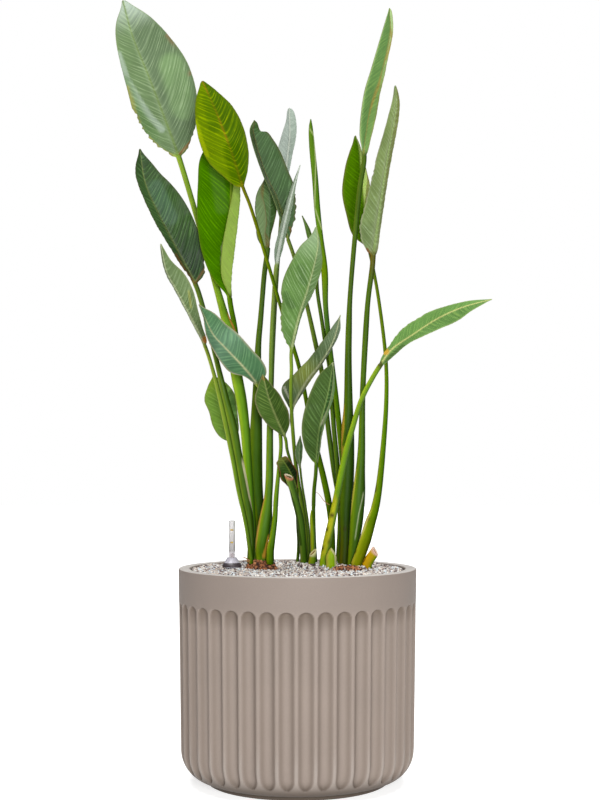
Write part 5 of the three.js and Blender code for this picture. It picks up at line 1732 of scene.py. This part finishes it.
def make_collar():
    """The cone that sits on the granulate, and a dark ring of painted shade round its foot."""
    g = GAUGE
    low = FILL["top"] + g["gap"]
    bore = g["tube"] + g["gap"]
    edge, rim_top, top = g["collar"], low + g["collar_rim"], low + g["collar_height"]
    profile = [
        (bore, low), (edge - 0.8, low), (edge, low + 0.8), (edge, rim_top - 0.8), (edge - 0.8, rim_top),
        (bore + 2.5, top), (bore, top), (bore, low + 1),
    ]
    points, faces = closed_lathe(profile)
    cone = clear_material("gauge_collar_plastic", (200, 197, 208), 0.15)
    make_piece("gauge_cone", points, faces, cone, ["gauge_collar"])
    # A dark ring of painted shade over the collar's rim and the foot of the cone.
    slope = (bore + 3.3 - edge) / (top - rim_top)
    high, reach = rim_top + g["collar_shade_height"], edge - 0.8 + g["collar_shade_height"] * slope
    profile = [
        (edge + 0.02, low + 0.9), (edge + 0.3, low + 1), (edge + 0.3, rim_top - 0.7),
        (edge - 0.5, rim_top + 0.2), (reach + 0.3, high), (reach + 0.05, high),
        (edge - 0.75, rim_top + 0.05), (edge + 0.02, rim_top - 0.75),
    ]
    points, faces = closed_lathe(profile)
    dark = plastic_material("gauge_collar_shade", (84, 74, 80), 0.4)
    make_piece("gauge_collar_shade_ring", points, faces, dark)


def make_float():
    """The float on the planter's floor, its rod and its red head."""
    g = GAUGE
    low = PLANTER["floor_top"] + g["gap"]
    neck, top = low + g["float_length"], g["head_top"]
    profile = [
        (0.6, low), (g["float"], low + 0.6), (g["float"], neck - 1), (g["rod"], neck + 3),
        (g["rod"], top - 7), (g["head"] - 0.6, top - 6.4), (g["head"], top - 5.6), (g["head"], top - 2.2),
        (g["head"] - 0.7, top - 0.9), (1.4, top),
    ]
    points, faces = rod_lathe(profile)
    red = plastic_material("gauge_float_red", (200, 60, 24), 0.35)
    make_piece("gauge_float_rod", points, faces, red, ["gauge_float"], body=FLOAT)


# ---------------------------------------------------------------- shoots and cut stalks


def make_round_mesh(shoot, look):
    """Rings of a stalk that stays round, from its foot to its end."""
    samples, lengths, _ = make_route(shoot["root"], shoot["along"])
    at = np.linspace(0, lengths[-1], max(10, round(lengths[-1] / 4)))
    points, radius, along = along_route(samples, lengths, at)
    front, rear, angle = round_rings(radius)
    rings = skin_rings(points, frames_at(points, along), radius, (front, rear), angle,
                       look.get("seams", []))
    return rings, points, radius, along[-1], angle


def round_place(points, rings, angle, radius):
    across = np.tile(np.concatenate([angle, angle[::-1]]), rings) * float(np.mean(radius))
    place = np.zeros((len(points), 3))
    place[:, 0] = points[:, 2] - 1000
    place[: len(across), 1] = 0.3 * across
    return place


def make_shoot(name, shoot):
    look = LOOKS[name]
    rings, points, radius, along, angle = make_round_mesh(shoot, look)
    tip = points[-1] + along * radius[-1]
    flat = np.vstack([rings.reshape(-1, 3), points[0] - [0, 0, LEAF["sunk"]], tip])
    facts = skin_facts(flat, len(rings), angle)
    paint = paint_lines(paint_stalk(look, facts), look, facts)
    make_piece(name + "_skin", flat, ring_faces(len(rings), 2 * len(angle)), MATERIALS[look["slot"]],
               [name], paint=paint, place=round_place(flat, len(rings), angle, radius))


def make_cut_stalk(name, stalk):
    """A stalk cut off at a slant, hollow at the cut, with a thin dried rim."""
    look = LOOKS[name]
    rings, points, radius, along, angle = make_round_mesh(stalk, look)
    centre = points[-1]
    top = rings[-1] - centre
    side, away = frames_at(points[-1:], along[None])
    across = top @ side[0]
    back = top @ away[0]
    slant = across * stalk["tilt"][0] + back * stalk["tilt"][1]
    body = rings[:-1]
    cut = []
    for share, sink in ((1.0, 0.0), (0.97, -0.5), (0.8, -0.7), (0.7, 0.4), (0.6, 2.5), (0.5, 6.0)):
        cut.append(centre + top * share + along * (slant * share - sink)[:, None])
    for keep in range(len(body) - 1, 0, -1):
        if ((cut[0] - body[keep]) @ along).min() > 0.6:
            break
    body = body[: keep + 1]
    every = np.concatenate([body, np.array(cut)])
    flat = np.vstack([every.reshape(-1, 3), points[0] - [0, 0, LEAF["sunk"]], centre - along * 7])
    facts = skin_facts(flat, len(every), angle)
    colours = paint_lines(paint_stalk(look, facts), look, facts)
    columns = 2 * len(angle)
    rim, wall, hollow = [linear(colour) for colour in look["cut"]]
    start = len(body) * columns
    colours[start : start + 6 * columns] = np.repeat([rim, rim, wall, wall, hollow, hollow], columns, axis=0)
    colours[-1] = hollow
    make_piece(name + "_skin", flat, ring_faces(len(every), columns), MATERIALS[look["slot"]],
               [name], paint=colours, place=round_place(flat, len(every), angle, radius))


# ---------------------------------------------------------------- the object

# Colour and strength of the side veins, how much painted light the crests of their folds and painted
# shade the hollows between them get, streaks between the veins, roughness and shine.
LEAF_FINISHES = {
    "leaf_grey_green": ((186, 206, 164), 0.45, 0.13, 0.11, 0.46, 0.08),
    "leaf_deep_green": ((112, 150, 88), 0.45, 0.26, 0.16, 0.40, 0.08),
    "leaf_bright_green": ((116, 176, 0), 0.45, 0.11, 0.11, 0.42, 0.0),
    "leaf_mid_green": ((160, 190, 96), 0.40, 0.13, 0.13, 0.42, 0.06),
    "leaf_teal_green": ((140, 178, 124), 0.40, 0.18, 0.14, 0.42, 0.06),
    "leaf_olive_green": ((176, 196, 0), 0.55, 0.12, 0.16, 0.42, 0.0),
    "leaf_silver": ((206, 216, 204), 0.35, 0.08, 0.12, 0.46, 0.10),
    "shoot_yellow_green": ((216, 216, 60), 0.15, 0.06, 0.10, 0.40, 0.06),
}
MATERIALS = {name: leaf_material(name, *finish) for name, finish in LEAF_FINISHES.items()}


def make_leaves():
    for index, (name, leaf) in enumerate(LEAVES.items()):
        look = LOOKS[name]
        points, faces, place, facts = make_leaf_mesh(leaf, look, seed=1.7 * index)
        make_piece(name + "_skin", points, faces, MATERIALS[look["slot"]], [name],
                   paint=paint_leaf(look, facts, place), place=place)
    for name, shoot in ROUND_SHOOTS.items():
        make_shoot(name, shoot)
    for name, stalk in CUT_STALKS.items():
        make_cut_stalk(name, stalk)


# ---------------------------------------------------------------- floor, light and camera


def make_floor():
    mesh = bpy.data.meshes.new("floor")
    reach = 12.0
    corners = [(-reach, -reach, 0), (reach, -reach, 0), (reach, reach, 0), (-reach, reach, 0)]
    mesh.from_pydata(corners, [], [(0, 1, 2, 3)])
    mesh.materials.append(floor_material())
    floor = bpy.data.objects.new("floor", mesh)
    bpy.context.scene.collection.objects.link(floor)


def aim(lamp, place, target):
    """Hangs a lamp at a place and points it at its target."""
    bpy.context.scene.collection.objects.link(lamp)
    place = np.array(place, float)
    lamp.location = place
    direction = np.array(target, float) - place
    yaw = math.atan2(-direction[0], direction[1])
    pitch = math.atan2(math.hypot(direction[0], direction[1]), -direction[2])
    lamp.rotation_euler = (pitch, 0, yaw)


def add_softbox(name, place, target, size, power):
    light = bpy.data.lights.new(name, "AREA")
    light.shape = "RECTANGLE"
    light.size, light.size_y = size
    light.energy = power
    aim(bpy.data.objects.new(name, light), place, target)


def add_skylight(strength, spread):
    """A wide, even light from straight above, the same over the whole floor."""
    light = bpy.data.lights.new("skylight", "SUN")
    light.energy = strength
    light.angle = math.radians(spread)
    aim(bpy.data.objects.new("skylight", light), (0, 0, 3), (0, 0, 0))


def make_world(seen_strength, light_strength):
    """White behind the object, and weaker even light from all round."""
    world = bpy.data.worlds.new("studio")
    world.use_nodes = True
    nodes, links = world.node_tree.nodes, world.node_tree.links
    nodes.clear()
    path = nodes.new("ShaderNodeLightPath")
    choose = nodes.new("ShaderNodeMixShader")
    output = nodes.new("ShaderNodeOutputWorld")
    links.new(path.outputs["Is Camera Ray"], choose.inputs["Fac"])
    for socket, strength in ((choose.inputs[1], light_strength), (choose.inputs[2], seen_strength)):
        background = nodes.new("ShaderNodeBackground")
        background.inputs["Color"].default_value = (1, 1, 1, 1)
        background.inputs["Strength"].default_value = strength
        links.new(background.outputs[0], socket)
    links.new(choose.outputs[0], output.inputs["Surface"])
    bpy.context.scene.world = world


def make_light():
    make_world(1.0, 0.08)
    add_skylight(3.9, 40)
    add_softbox("front", (0.35, -3.6, 1.1), (0, 0, 0.55), (1.0, 1.0), 118)


def make_camera():
    """At the viewer's eye, level, with the frame shifted up to take in the tallest leaf."""
    eye_row, middle_row, rows = 441, 400, 800
    focal_rows = 1575
    long_side = 36.0
    data = bpy.data.cameras.new("camera")
    data.sensor_width = long_side
    data.lens = focal_rows * long_side / rows
    data.shift_y = (eye_row - middle_row) / rows
    camera = bpy.data.objects.new("camera", data)
    bpy.context.scene.collection.objects.link(camera)
    camera.location = VIEWER * MM
    camera.rotation_euler = (math.pi / 2, 0, 0)
    bpy.context.scene.camera = camera


make_camera()
make_planter()
make_granulate(np.random.default_rng(7))
make_root_ball(np.random.default_rng(11))
make_tube()
make_collar()
make_float()
make_leaves()
make_floor()
make_light()
bpy.context.scene.view_settings.view_transform = "Standard"
